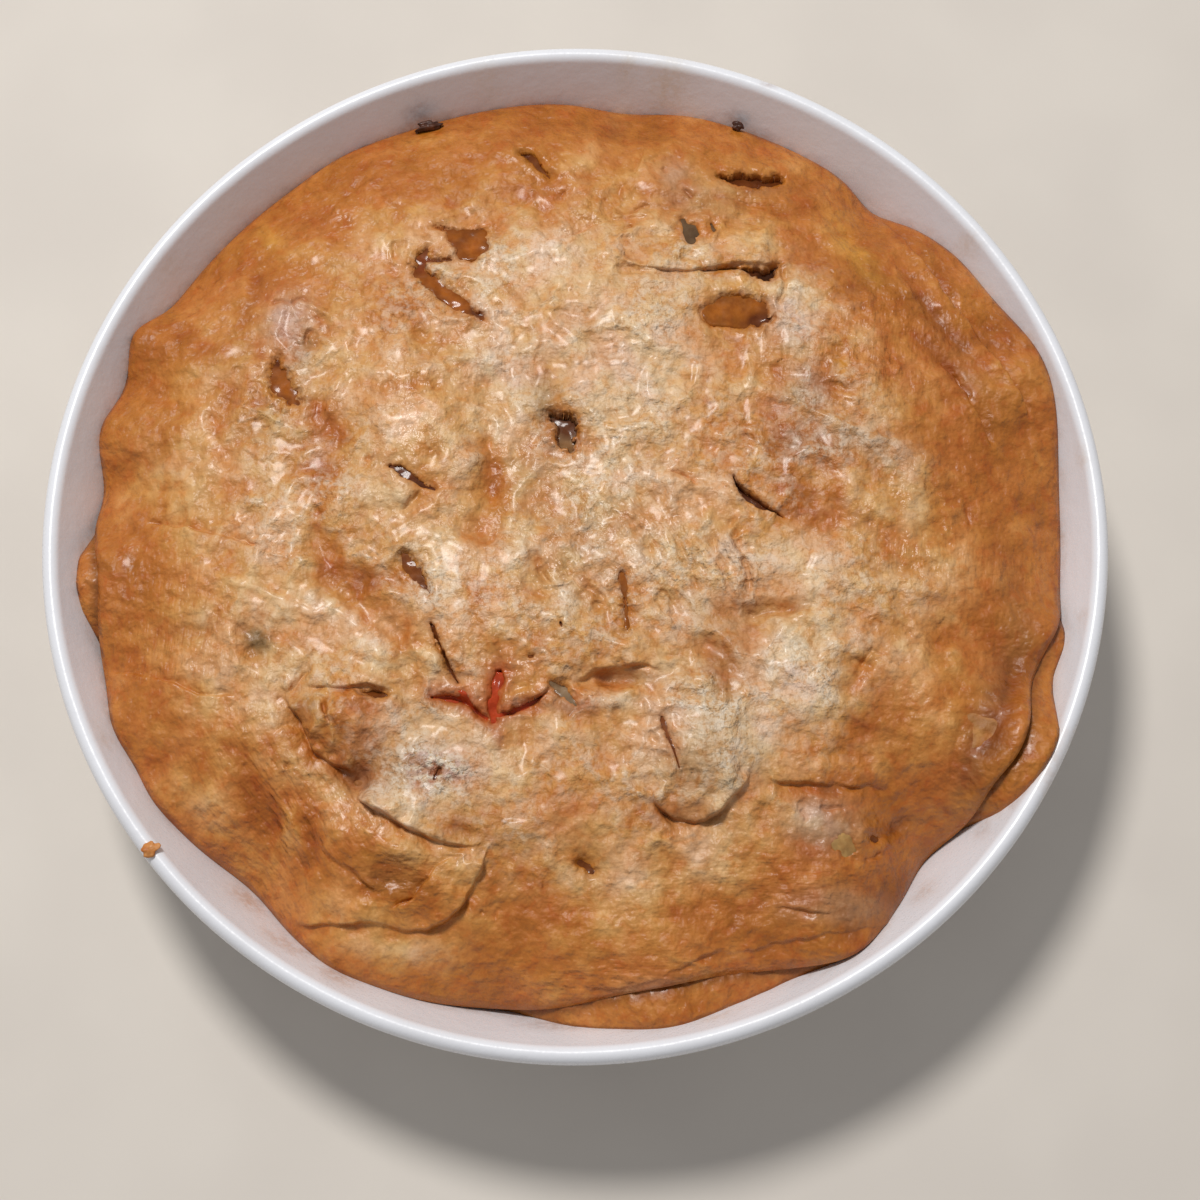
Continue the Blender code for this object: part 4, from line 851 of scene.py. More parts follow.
def add_net(cuts, reach):
    """A six-sided fan cut into even triangles and spread to the reach at each angle."""
    deselect()
    bpy.ops.mesh.primitive_circle_add(vertices=6, radius=1.0, fill_type="TRIFAN")
    sheet = bpy.context.active_object
    edit()
    bpy.ops.mesh.select_all(action="SELECT")
    for count in cuts:
        bpy.ops.mesh.subdivide(number_cuts=count)
    bpy.ops.mesh.quads_convert_to_tris()
    to_object()
    points = places(sheet.data) * MM
    degrees = np.degrees(np.arctan2(points[:, 1], points[:, 0])) % 360.0
    from_side = (degrees + 30.0) % 60.0 - 30.0
    ring = np.hypot(points[:, 0], points[:, 1]) * np.cos(np.radians(from_side)) / math.cos(math.radians(30))
    # Each six-sided ring becomes a round one, with its points spaced evenly.
    even = np.tan(np.radians(from_side)) / math.tan(math.radians(30)) * 30.0
    degrees = degrees - from_side + even
    radius = np.clip(ring, 0.0, 1.0) * reach(degrees)
    around = np.radians(degrees)
    points = np.stack([radius * np.cos(around), radius * np.sin(around), np.zeros(len(radius))], 1)
    set_places(sheet.data, points)
    return sheet


def refine(sheet, wanted):
    """Cuts each chosen triangle into four."""
    points = places(sheet.data)
    faces = corners_of(sheet.data)
    pick_faces(sheet.data, wanted(points[faces].mean(axis=1)))
    edit()
    bpy.ops.mesh.subdivide(number_cuts=1, ngon=False)
    bpy.ops.mesh.select_all(action="SELECT")
    bpy.ops.mesh.quads_convert_to_tris(quad_method="BEAUTY", ngon_method="BEAUTY")
    to_object()


def fine_lines(x, y):
    """Millimetres from the nearest fold, crack or opening."""
    away = np.abs(vent_gap(x, y, ragged=0.0)[0])
    for row in (*FOLDS.values(), *CRACKS):
        near = around_line(x, y, row[0], 6.0)
        across = beside(x[near], y[near], curved(row[0]))[0]
        away[near] = np.minimum(away[near], np.abs(across))
    return away


def paint(mesh, name, values):
    """Stores a number or a colour at each point."""
    values = np.asarray(values, float)
    if values.ndim == 1:
        layer = mesh.attributes.new(name, "FLOAT", "POINT")
        layer.data.foreach_set("value", values.astype(np.float32))
    else:
        layer = mesh.attributes.new(name, "FLOAT_COLOR", "POINT")
        rows = np.concatenate([values, np.ones((len(values), 1))], axis=1)
        layer.data.foreach_set("color", rows.astype(np.float32).ravel())


# ---- colours of the pastry ------------------------------------------------------------------------
BAKING = (
    (0.30, (0.76, 0.565, 0.395)),
    (0.50, (0.715, 0.470, 0.268)),
    (0.62, (0.66, 0.378, 0.168)),
    (0.74, (0.61, 0.300, 0.096)),
    (0.84, (0.545, 0.220, 0.047)),
    (0.93, (0.47, 0.155, 0.021)),
    (1.05, (0.365, 0.112, 0.007)),
    (1.25, (0.16, 0.038, 0.003)),
    (1.45, (0.05, 0.012, 0.003)),
)


def bake_colour(browning):
    stops = [stop for stop, _ in BAKING]
    bands = zip(*(colour for _, colour in BAKING))
    return np.stack([np.interp(browning, stops, band) for band in bands], 1)


def browning_of(x, y, height_above):
    radius, degrees = polar(x, y)
    start = np.interp(degrees, np.arange(13) * 30.0, RING_START + RING_START[:1])
    start = start + 10.0 * lumps(x, y, 19.0, 51, 3)
    ring = ease(radius, start - RING_SOFTNESS, start + RING_SOFTNESS)
    browning = MIDDLE_BROWNING + (RING_BROWNING - MIDDLE_BROWNING) * ring
    browning = browning + 0.03 * ease(radius, 108.0, 116.0)
    ragged = 1.0 + 0.35 * lumps(x, y, 7.0, 53, 3)
    for row in BROWNING:
        browning = browning + row[5] * 0.62 * patch(x, y, row) * ragged
    uneven = 0.12 * lumps(x, y, 14.0, 57, 3) + 0.15 * lumps(x, y, 5.0, 59, 3)
    uneven = uneven + 0.05 * lumps(x, y, 1.8, 61, 2)
    browning = browning + uneven * (1.0 - 0.45 * ring)
    # Painted light and shade: raised places come out paler and hollows browner.
    return browning - np.clip(height_above, -1.6, 1.2) * 0.06


def stain_and_shade_colours(x, y, colour):
    # Lays on the stains, and the painted shade of the SHADE rows.
    blotchy = 1.15 + 0.7 * lumps(x, y, 3.4, 63, 3)
    for row in STAINS_AND_SHADE:
        amount = row[6] * np.clip(patch(x, y, row) * blotchy, 0.0, 1.0)
        colour = toward(colour, np.array(row[5]) / STAIN_AND_SHADE_SHARE, amount)
    return colour


# ---- materials --------------------------------------------------------------------------------
class Finish:
    """A material and short ways to wire its nodes."""

    def __init__(self, name, roughness, **sockets):
        self.material = bpy.data.materials.new(name)
        self.material.use_nodes = True
        self.tree = self.material.node_tree
        self.shader = self.tree.nodes["Principled BSDF"]
        self.shader.inputs["Roughness"].default_value = roughness
        for socket, value in sockets.items():
            self.shader.inputs[socket.replace("_", " ")].default_value = value
        self.place = self.node("ShaderNodeTexCoord").outputs["Object"]

    def node(self, kind, **settings):
        made = self.tree.nodes.new(kind)
        for setting, value in settings.items():
            setattr(made, setting, value)
        return made

    def put(self, value, socket):
        if isinstance(value, bpy.types.NodeSocket):
            self.tree.links.new(value, socket)
        else:
            socket.default_value = value

    def read(self, attribute, colour=False):
        made = self.node("ShaderNodeAttribute", attribute_name=attribute)
        return made.outputs["Color" if colour else "Fac"]

    def noise(self, size, detail=3.0, rough=0.55, warp=0.0, stretch=None, heading=0.0):
        """Noise whose features are about this many millimetres across."""
        made = self.node("ShaderNodeTexNoise")
        made.inputs["Scale"].default_value = 1000.0 / size
        made.inputs["Detail"].default_value = detail
        made.inputs["Roughness"].default_value = rough
        made.inputs["Distortion"].default_value = warp
        place = self.place
        if stretch:
            mapping = self.node("ShaderNodeMapping", vector_type="TEXTURE")
            mapping.inputs["Rotation"].default_value = (0.0, 0.0, math.radians(heading))
            mapping.inputs["Scale"].default_value = tuple(1.0 / share for share in stretch)
            self.put(place, mapping.inputs["Vector"])
            place = mapping.outputs["Vector"]
        self.put(place, made.inputs["Vector"])
        return made.outputs["Fac"]

    def cells(self, size, warp):
        """Cells about this many millimetres across, their walls bent by the warp in millimetres."""
        made = self.node("ShaderNodeTexVoronoi", feature="F1")
        made.inputs["Scale"].default_value = 1000.0 / size
        bend = self.node("ShaderNodeTexNoise")
        bend.inputs["Scale"].default_value = 1000.0 / (1.4 * size)
        bend.inputs["Detail"].default_value = 0.0
        self.put(self.place, bend.inputs["Vector"])
        scaled = self.node("ShaderNodeVectorMath", operation="MULTIPLY_ADD")
        self.put(bend.outputs["Color"], scaled.inputs[0])
        scaled.inputs[1].default_value = (2 * warp * MM,) * 3
        self.put(self.place, scaled.inputs[2])
        self.put(scaled.outputs[0], made.inputs["Vector"])
        return made.outputs["Distance"]

    def step(self, value, low, high, to_low=0.0, to_high=1.0):
        made = self.node("ShaderNodeMapRange", interpolation_type="SMOOTHSTEP")
        made.inputs["From Min"].default_value = low
        made.inputs["From Max"].default_value = high
        made.inputs["To Min"].default_value = to_low
        made.inputs["To Max"].default_value = to_high
        self.put(value, made.inputs["Value"])
        return made.outputs["Result"]

    def math(self, operation, first, second):
        made = self.node("ShaderNodeMath", operation=operation)
        self.put(first, made.inputs[0])
        self.put(second, made.inputs[1])
        return made.outputs[0]

    def mix(self, amount, first, second, blend="MIX"):
        made = self.node("ShaderNodeMix", data_type="RGBA", blend_type=blend)
        self.put(amount, made.inputs["Factor"])
        for value, socket in ((first, made.inputs[6]), (second, made.inputs[7])):
            self.put(value if isinstance(value, bpy.types.NodeSocket) else (*value, 1.0), socket)
        return made.outputs[2]

    def tint(self, amount, first, second):
        """The first colour, multiplied by the second by this amount."""
        return self.mix(amount, first, second, "MULTIPLY")

    def colour(self, value):
        self.put(value, self.shader.inputs["Base Color"])

    def rough(self, value):
        self.put(value, self.shader.inputs["Roughness"])

    def bump(self, *heights):
        """Bumps in turn, each given as height, depth in millimetres and strength."""
        normal = None
        for height, depth, strength in heights:
            made = self.node("ShaderNodeBump")
            made.inputs["Strength"].default_value = strength
            made.inputs["Distance"].default_value = depth * MM
            self.put(height, made.inputs["Height"])
            if normal is not None:
                self.put(normal, made.inputs["Normal"])
            normal = made.outputs["Normal"]
        self.put(normal, self.shader.inputs["Normal"])


def pastry_finish(name):
    """Baked pastry: painted browning with golden and creamy mottling, a little flour, painted shade in the
    pits, seams and valleys of the skin, satin skin.
    """
    finish = Finish(name, 0.5, Specular_IOR_Level=0.42, Coat_Weight=0.15, Coat_Roughness=0.18)
    painted = finish.read("baked", colour=True)
    shine = finish.read("shine")
    flour = finish.read("flour")
    mottle = finish.noise(4.2, 3.0, 0.58, 0.5)
    fleck = finish.noise(2.1, 2.0, 0.60, 0.0, (0.6, 1.0, 1.0), -62.0)
    hue = finish.noise(11.0, 2.0, 0.5)
    rosy = finish.mix(finish.step(hue, 0.42, 0.62), (1.0, 1.0, 0.90), (1.02, 0.965, 1.0))
    tinted = finish.tint(1.0, painted, rosy)
    golden = finish.tint(finish.step(mottle, 0.50, 0.66, 0.0, 0.85), tinted, (0.96, 0.79, 0.56))
    cream = finish.tint(finish.step(mottle, 0.48, 0.32, 0.0, 0.85), golden, (1.07, 1.14, 1.24))
    pale = finish.tint(finish.step(fleck, 0.53, 0.66, 0.0, 0.75), cream, (1.10, 1.11, 1.13))
    dark = finish.tint(finish.step(fleck, 0.46, 0.32, 0.0, 0.70), pale, (0.87, 0.84, 0.79))
    dusty = finish.math("MULTIPLY", flour, finish.step(finish.noise(2.4, 2.0, 0.60), 0.42, 0.62))
    dusted = finish.mix(dusty, dark, (0.75, 0.64, 0.51))
    fine = finish.noise(1.0, 2.0, 0.62)
    # Painted shade in the pits of the fine grain.
    pit_shade = finish.math("MULTIPLY", finish.step(fine, 0.49, 0.33), finish.math("ADD", flour, 0.30))
    pit_shaded = finish.tint(pit_shade, dusted, (0.80, 0.64, 0.45))
    crumpled = finish.read("crumpled")
    small = finish.cells(2.4, warp=1.08)
    # Painted shade along the seams of the crumpled facets.
    seam_shade = finish.math("MULTIPLY", finish.step(small, 0.48, 0.78, 0.0, 0.75), crumpled)
    seam_shaded = finish.tint(seam_shade, pit_shaded, (0.84, 0.70, 0.52))
    matt = finish.math("ADD", finish.math("MULTIPLY", shine, -0.28), 0.58)
    finish.rough(finish.math("ADD", matt, finish.step(fleck, 0.35, 0.70, -0.05, 0.10)))
    heights = [(finish.noise(3.4, 2.0, 0.42), 2.6, 0.6)]
    for facets, depth in ((finish.cells(5.0, warp=2.25), 1.4), (small, 0.9)):
        heights.append((finish.math("MULTIPLY", facets, crumpled), depth, 0.5))
    for name, heading, _, _ in PULL_GROUPS:
        ridges = finish.noise(2.2, 2.0, 0.60, 0.0, (0.24, 1.0, 1.0), heading)
        pulled = finish.read(name)
        heights.append((finish.math("MULTIPLY", ridges, pulled), 1.2, 0.8))
        # Painted shade in the valleys between the pulled ridges.
        valleys = finish.math("MULTIPLY", finish.step(ridges, 0.46, 0.30, 0.0, 0.9), pulled)
        seam_shaded = finish.tint(valleys, seam_shaded, (0.80, 0.64, 0.44))
    finish.colour(seam_shaded)
    grain = finish.math("MULTIPLY", fine, finish.math("ADD", flour, 0.22))
    heights.append((grain, 0.95, 0.8))
    finish.bump(*heights)
    return finish.material


def wet_finish(name, gloss=0.14):
    """Gravy, carrot and potato: painted colour under a thin wet film."""
    finish = Finish(name, 0.6, Specular_IOR_Level=0.12, Coat_Weight=0.24, Coat_Roughness=gloss)
    painted = finish.read("baked", colour=True)
    cloud = finish.noise(2.4, 3.0, 0.55)
    deep = finish.tint(finish.step(cloud, 0.42, 0.64, 0.0, 0.5), painted, (0.66, 0.52, 0.40))
    beads = finish.step(finish.noise(1.3, 3.0), 0.52, 0.72, 0.0, 0.30)
    glow = finish.tint(beads, deep, (1.3, 1.3, 1.2))
    finish.colour(glow)
    finish.rough(finish.step(cloud, 0.35, 0.65, 0.52, 0.68))
    finish.bump((finish.noise(2.6, 3.0, 0.5), 0.7, 0.5), (finish.noise(0.8, 2.0), 0.10, 0.5))
    return finish.material


def glaze_finish(name):
    """White satin glaze, with browned spatters on the wall over the crust and small scuffs."""
    finish = Finish(name, 0.32, Coat_Weight=0.12, Coat_Roughness=0.26)
    shade = finish.step(finish.noise(30.0, 3.0), 0.35, 0.70)
    base = finish.mix(shade, (0.84, 0.855, 0.90), (0.80, 0.81, 0.85))
    stains = finish.read("stain", colour=True)
    amount = finish.read("stained")
    specks = finish.step(finish.noise(2.0, 4.0, 0.65), 0.36, 0.60, 0.35, 1.0)
    broken = finish.math("MULTIPLY", amount, specks)
    finish.colour(finish.mix(broken, base, stains))
    finish.rough(finish.step(finish.noise(0.8, 3.0), 0.35, 0.70, 0.26, 0.36))
    finish.bump((finish.noise(3.0, 3.0, 0.5), 0.25, 0.35), (finish.noise(0.9, 3.0, 0.6), 0.06, 0.5))
    return finish.material


# ---- dish -----------------------------------------------------------------------------------------
def arc(centre, half_width, half_height, first, last, count):
    points = []
    for i in range(count):
        angle = math.radians(first + (last - first) * i / (count - 1))
        across, up = half_width * math.cos(angle), half_height * math.sin(angle)
        points.append((centre[0] + across, centre[1] + up))
    return points


def dish_profile():
    """From the middle of the floor, up the inner wall, over the lip, down to the foot and back."""
    wall_angle = math.degrees(math.atan(WALL_SLOPE))
    reach = math.tan((math.pi / 2 - math.atan(WALL_SLOPE)) / 2)
    inner = (wall_radius(FLOOR_THICKNESS) - INNER_CORNER * reach, FLOOR_THICKNESS + INNER_CORNER)
    points = [(0.0, FLOOR_THICKNESS)] + [(inner[0] * share, FLOOR_THICKNESS) for share in (0.3, 0.6, 0.85)]
    points += arc(inner, INNER_CORNER, INNER_CORNER, -90, -wall_angle, 12)
    lip = (LIP_RADIUS - LIP_HALF_WIDTH, DISH_HEIGHT - LIP_HALF_HEIGHT)
    over = arc(lip, LIP_HALF_WIDTH, LIP_HALF_HEIGHT, 155, -75, 26)
    points += between(points[-1], over[0], 14)
    points += over
    under = lip[1] - UNDER_LIP
    tuck = (wall_radius(under) + WALL, under)
    points.append((tuck[0] + 0.3, tuck[1] + 0.9))
    points.append(tuck)
    outer = (wall_radius(0.0) + WALL - OUTER_CORNER * reach, OUTER_CORNER)
    turn = list(reversed(arc(outer, OUTER_CORNER, OUTER_CORNER, -70, -wall_angle, 10)))
    points += between(tuck, turn[0], 10)
    points += turn
    foot = FOOT_RADIUS - FOOT_WIDTH
    points += [(FOOT_RADIUS + 0.6, 0.35), (FOOT_RADIUS, 0.0), (foot, 0.0), (foot - 0.5, 0.3)]
    points += [(foot - FOOT_RECESS, FOOT_RECESS), (foot * 0.5, FOOT_RECESS), (0.0, FOOT_RECESS)]
    return points


SPATTER_BROWN = (0.55, 0.36, 0.18)
CRUST_LINE_BROWN = (0.48, 0.25, 0.09)  # where the crust meets the wall
# Marks on the glaze: angle, radius, half size round the dish, half size across, colour, strength.
GLAZE_MARKS = (
    (79, 120, 5, 5, (0.62, 0.42, 0.16), 0.35), (84, 122, 2.5, 3, (0.66, 0.50, 0.28), 0.3),
    (68, 125.5, 1.2, 1.0, (0.30, 0.13, 0.05), 0.9), (101, 121, 3, 4, (0.66, 0.52, 0.30), 0.2),
    (37, 121.5, 2.4, 2, (0.58, 0.38, 0.20), 0.45), (322, 119.5, 1.4, 1.5, (0.42, 0.20, 0.08), 0.6),
    (327, 121, 1.0, 1.0, (0.42, 0.20, 0.08), 0.6), (243, 119, 5, 2.0, (0.52, 0.26, 0.10), 0.6),
    (236, 119, 6, 1.6, (0.52, 0.26, 0.10), 0.5), (229, 116, 5, 2.0, (0.50, 0.24, 0.08), 0.6),
    (205, 121, 3, 1.4, (0.56, 0.36, 0.18), 0.35), (146, 121, 4, 1.4, (0.60, 0.44, 0.26), 0.3),
    (8, 123, 3, 1.2, (0.56, 0.38, 0.22), 0.3), (349, 122, 2, 1.2, (0.50, 0.30, 0.15), 0.35),
    (313, 118.5, 3, 1.5, (0.50, 0.26, 0.10), 0.45), (268, 116.8, 9, 1.2, (0.34, 0.15, 0.05), 0.5),
    (286, 120, 5, 1.0, (0.55, 0.34, 0.16), 0.35), (110, 119.4, 3, 1.3, (0.30, 0.12, 0.05), 0.5),
    (70, 118.2, 3, 1.3, (0.25, 0.10, 0.04), 0.5),
)


def make_dish():
    mesh = bpy.data.meshes.new("dish_profile")
    profile = dish_profile()
    lines = [(i, i + 1) for i in range(len(profile) - 1)]
    mesh.from_pydata([(x * MM, 0.0, z * MM) for x, z in profile], lines, [])
    dish = add_object("dish_profile", mesh)
    pick(dish)
    edit("VERT")
    bpy.ops.mesh.select_all(action="SELECT")
    bpy.ops.mesh.spin(steps=DISH_TURNS, angle=math.tau, center=(0, 0, 0), axis=(0, 0, 1))
    bpy.ops.mesh.select_all(action="SELECT")
    bpy.ops.mesh.remove_doubles(threshold=0.00002)
    bpy.ops.mesh.normals_make_consistent(inside=False)
    to_object()
    points = places(dish.data)
    radius, degrees = polar(points[:, 0], points[:, 1])
    # The turned wall is never quite true: it waves by a tenth of a millimetre or so.
    sway = 0.10 * lumps(degrees * 1.4, points[:, 2] * 0.6, 22.0, 81, 2)
    sway = sway * ease(radius, 60, 110) * ease(points[:, 2], 1, 10)
    sway = np.where(radius > LIP_RADIUS - 0.6, np.minimum(sway, 0.0), sway)
    points[:, 0] *= 1 + sway / np.maximum(radius, 1.0)
    points[:, 1] *= 1 + sway / np.maximum(radius, 1.0)
    set_places(dish.data, points)
    stain = np.zeros((len(points), 3)) + np.array(SPATTER_BROWN)
    amount = np.zeros(len(points))
    upper = ease(points[:, 2], 20.0, 30.0)
    for angle, out, half_round, half_across, colour, strength in GLAZE_MARKS:
        around = ((degrees - angle + 180) % 360 - 180) * math.pi / 180 * out
        mark = np.exp(-((around / half_round) ** 2) - ((radius - out) / half_across) ** 2)
        mark = strength * upper * mark
        stain = np.where((mark > amount)[:, None], np.array(colour), stain)
        amount = np.maximum(amount, mark)
    above_crust = points[:, 2] - wall_height(outline_radius(degrees))
    line = np.exp(-(((above_crust - 0.6) / 1.6) ** 2))
    line = line * (0.30 + 0.5 * lumps(degrees * 2.0, radius * 0, 9.0, 83, 3))
    line = np.clip(line, 0, 1) * (radius > 100) * 0.8
    stain = np.where((line > amount)[:, None], np.array(CRUST_LINE_BROWN), stain)
    amount = np.maximum(amount, line)
    paint(dish.data, "stain", stain)
    paint(dish.data, "stained", amount)
    bpy.ops.object.shade_smooth()
    return as_piece("dish_glazed", "dish", glaze_finish("satin_white_glaze"))


# ---- top crust ------------------------------------------------------------------------------------
def drop_bow_ties(sheet):
    """Takes off the smaller side wherever two sides of the sheet meet at one point only."""
    bm = bmesh.new()
    bm.from_mesh(sheet.data)
    for _ in range(4):
        doomed = set()
        for vert in bm.verts:
            if sum(edge.is_boundary for edge in vert.link_edges) > 2:
                doomed.update(vert.link_faces)
        if not doomed:
            break
        bmesh.ops.delete(bm, geom=list(doomed), context="FACES")
    lone = [vert for vert in bm.verts if not vert.link_faces]
    bmesh.ops.delete(bm, geom=lone, context="VERTS")
    bm.to_mesh(sheet.data)
    bm.free()


def edge_points(mesh):
    """The points on the mesh's open edges."""
    faces = corners_of(mesh)
    edges = np.sort(np.concatenate([faces[:, [0, 1]], faces[:, [1, 2]], faces[:, [2, 0]]]), axis=1)
    edges, uses = np.unique(edges, axis=0, return_counts=True)
    return np.unique(edges[uses == 1])


def cut_openings(sheet):
    """Draws the nearest points onto the openings' borders and takes the faces inside away."""
    points = places(sheet.data)
    x, y = points[:, 0].copy(), points[:, 1].copy()
    for _ in range(2):
        gap, _ = vent_gap(x, y)
        near = np.nonzero(np.abs(gap) < 0.17)[0]
        slope_x, slope_y = gap_slope(x[near], y[near], 0.03)
        steep = np.maximum(slope_x**2 + slope_y**2, 0.3)
        x[near] -= gap[near] * slope_x / steep
        y[near] -= gap[near] * slope_y / steep
    points[:, 0], points[:, 1] = x, y
    set_places(sheet.data, points)
    middle = points[corners_of(sheet.data)].mean(axis=1)
    pick_faces(sheet.data, vent_gap(middle[:, 0], middle[:, 1])[0] < 0.0)
    edit()
    bpy.ops.mesh.delete(type="FACE")
    to_object()
    drop_bow_ties(sheet)


def lid_colours(x, y, gap, soaks, above, groove_shade):
    """Browning and stains, with painted light where raised and painted shade in hollows and grooves,
    browner where juice came out.
    """
    colour = bake_colour(browning_of(x, y, above))
    # Painted light on raised places and painted shade in hollows.
    colour = stain_and_shade_colours(x, y, colour) * (1.0 + np.outer(np.clip(above, -1.6, 0.9), RAISED_LIGHT_HOLLOW_SHADE))
    # Painted shade laid into the grooves.
    colour = toward(colour, GROOVE_SHADE_BROWN, 0.62 * groove_shade)
    wet = juice(gap, soaks)
    red = np.exp(-np.maximum(vent_gap(x, y, CARROT_VENTS)[0], 0.0) / 1.6)
    colour = toward(colour, JUICE_BROWN, np.clip(wet * 0.85, 0, 1))
    colour = toward(colour, JUICE_RED, np.clip(red * 0.65, 0, 1))
    return np.clip(colour, 0.0, 1.0)


def juice(gap, soaks):
    return np.exp(-np.maximum(gap, 0.0) / (0.35 + 0.55 * soaks)) * np.clip(soaks, 0.0, 1.5) / 1.5


def paint_lid(mesh, x, y, gap, soaks, above, groove_shade):
    """Colour, flour, shine, and how crumpled and how pulled the skin is."""
    paint(mesh, "baked", lid_colours(x, y, gap, soaks, above, groove_shade))
    radius, _ = polar(x, y)
    flour = 0.22 + 0.35 * lumps(x, y, 14.0, 65, 3)
    for row in STAINS_AND_SHADE:
        if row[5] in (FLOUR, ASH, BLUSH):
            flour = flour + 0.55 * row[6] * patch(x, y, row)
    flour = np.clip(flour, 0.0, 0.85) * (1.0 - ease(radius, 70, 95))
    flour = flour * np.clip(1.0 + 0.7 * above, 0.1, 1.2)
    paint(mesh, "flour", flour)
    shine = 0.45 + 0.45 * lumps(x, y, 17.0, 67, 3)
    for place, more in SHINY:
        shine = shine + more * patch(x, y, place)
    shine = shine - 0.5 * flour + 0.6 * juice(gap, soaks)
    paint(mesh, "shine", np.clip(shine, 0.0, 1.0))
    uneven = 1.1 + 0.6 * lumps(x, y, 8.0, 73, 2)
    for name, _, lowest, highest in PULL_GROUPS:
        pulled = np.zeros_like(x)
        for at, heading, _, height in PULLED:
            if lowest <= heading < highest:
                pulled = np.maximum(pulled, 1.6 * height * patch(x, y, at + (heading,)))
        paint(mesh, name, np.clip(pulled * uneven, 0.0, 1.0))
    crumpled = 0.55 + 0.55 * lumps(x, y, 15.0, 75, 3) - 0.55 * ease(radius, 82, 102)
    paint(mesh, "crumpled", np.clip(crumpled, 0.0, 1.0))


def lip_relief(gap, soaks):
    """A low lip beside each opening, and inside it a fall that is wider where juice soaked it."""
    slope = np.exp(-np.maximum(gap, 0.0) / (0.35 + 0.22 * soaks))
    return 0.22 * np.exp(-(((gap - 1.6) / 0.9) ** 2)) - (WALL_ROUNDING + 0.25 * soaks) * slope


def flatten_crests(face):
    over = np.maximum(face - SOFT_TOP, 0.0)
    return np.minimum(face, SOFT_TOP) + (HARD_TOP - SOFT_TOP) * np.tanh(over / (HARD_TOP - SOFT_TOP))


def underside(x, y, face, lean_x, lean_y, share, rim, nearest):
    """The lid's underside, drawn out at the openings' rims so that their walls slope."""
    edge = ease(share, 0.97, 1.0)
    under_x = x * (1.0 - 0.006 * edge) + 0.4 * lean_x
    under_y = y * (1.0 - 0.006 * edge) + 0.4 * lean_y
    height = np.minimum(lid_underside(x, y) + 0.6, face - CRUST_THICKNESS)
    slope_x, slope_y = gap_slope(x[rim], y[rim], 0.05, ragged=0.0)
    draw_in = np.clip(0.50 * WIDEST[nearest[rim]], 0.1, 1.0)
    under_x[rim] -= slope_x * draw_in
    under_y[rim] -= slope_y * draw_in
    height[rim] = face[rim] - np.clip(DEPTHS[nearest[rim]] + 0.1, 0.8, CRUST_THICKNESS)
    return np.stack([under_x, under_y, height], 1)


def paint_underside(mesh, count, walls):
    """Takes flour and shine off all but the face, and gives the walls and underside their colour."""
    for name in ("flour", "shine"):
        layer = mesh.attributes[name].data
        values = np.zeros(len(layer), np.float32)
        layer.foreach_get("value", values)
        values[count:] = 0.0
        layer.foreach_set("value", values)
    layer = mesh.attributes["baked"].data
    flat = np.zeros(len(layer) * 4, np.float32)
    layer.foreach_get("color", flat)
    flat.reshape(-1, 4)[count : 2 * count, :3] = np.clip(walls, 0.0, 1.0)
    layer.foreach_set("color", flat)


def make_top_crust(finish):
    """A net cut finer along its lines, raised to the face, thickened, and thinned out below."""
    sheet = add_net((8, 10), lid_radius)
    refine(sheet, lambda at: fine_lines(at[:, 0], at[:, 1]) < 3.0)
    refine(sheet, lambda at: fine_lines(at[:, 0], at[:, 1]) < 1.0)
    cut_openings(sheet)
    mesh = sheet.data
    rim_points = edge_points(mesh)
    points = places(mesh)
    count = len(points)
    x, y = points[:, 0], points[:, 1]
    height, lean_x, lean_y = lid_face(x, y)
    ridges = RIDGE_DEPTH * ridge_relief(x, y)
    cracks = crack_relief(x, y)
    folds = FOLD_DEPTH * fold_relief(x, y)[0]
    detail = SKIN_DEPTH * skin(x, y) + ridges + cracks
    gap, nearest = vent_gap(x, y)
    soaks = SOAKS[nearest]
    share = np.hypot(x, y) / lid_radius(polar(x, y)[1])
    relief = (detail + lip_relief(gap, soaks)) * (1.0 - np.clip(share, 0, 1) ** 40)
    face = flatten_crests(height + relief)
    # How deep the folds' and cracks' grooves are, for the painted shade laid into them.
    groove_shade = np.clip((-cracks - folds - 0.4) / 1.1, 0.0, 1.0) ** 1.4
    paint_lid(mesh, x, y, gap, soaks, detail + ridges + 0.4 * folds, groove_shade)
    set_places(mesh, np.stack([x + lean_x, y + lean_y, face], 1))
    pick(sheet)
    apply_modifier(sheet, "Thickness", "SOLIDIFY", thickness=CRUST_THICKNESS * MM, offset=-1.0)
    solid = places(mesh)
    rim = rim_points[share[rim_points] < 0.97]
    solid[count : 2 * count] = underside(x, y, face, lean_x, lean_y, share, rim, nearest)
    set_places(mesh, solid)
    # The walls' soaked colour, painted lighter as the glow of light through the pastry.
    soaked = np.array(WALL_BROWN_AND_GLOW) * (0.75 + 0.25 * lumps(x, y, 2.0, 69, 2))[:, None]
    at_wall = 0.34 * soaked + 0.75 * TINTS[nearest]
    paint_underside(mesh, count, np.where((gap < 3.0)[:, None], at_wall, 0.8 * soaked))
    group = sheet.vertex_groups.new(name="underside")
    hidden = np.nonzero((gap > 0.9) & (share < 0.985))[0] + count
    group.add(hidden.tolist(), 1.0, "REPLACE")
    apply_modifier(sheet, "Fewer", "DECIMATE", vertex_group="underside", ratio=0.56)
    sheet.vertex_groups.clear()
    bpy.ops.object.shade_smooth()
    return as_piece("crust_lid", "top_crust", finish)


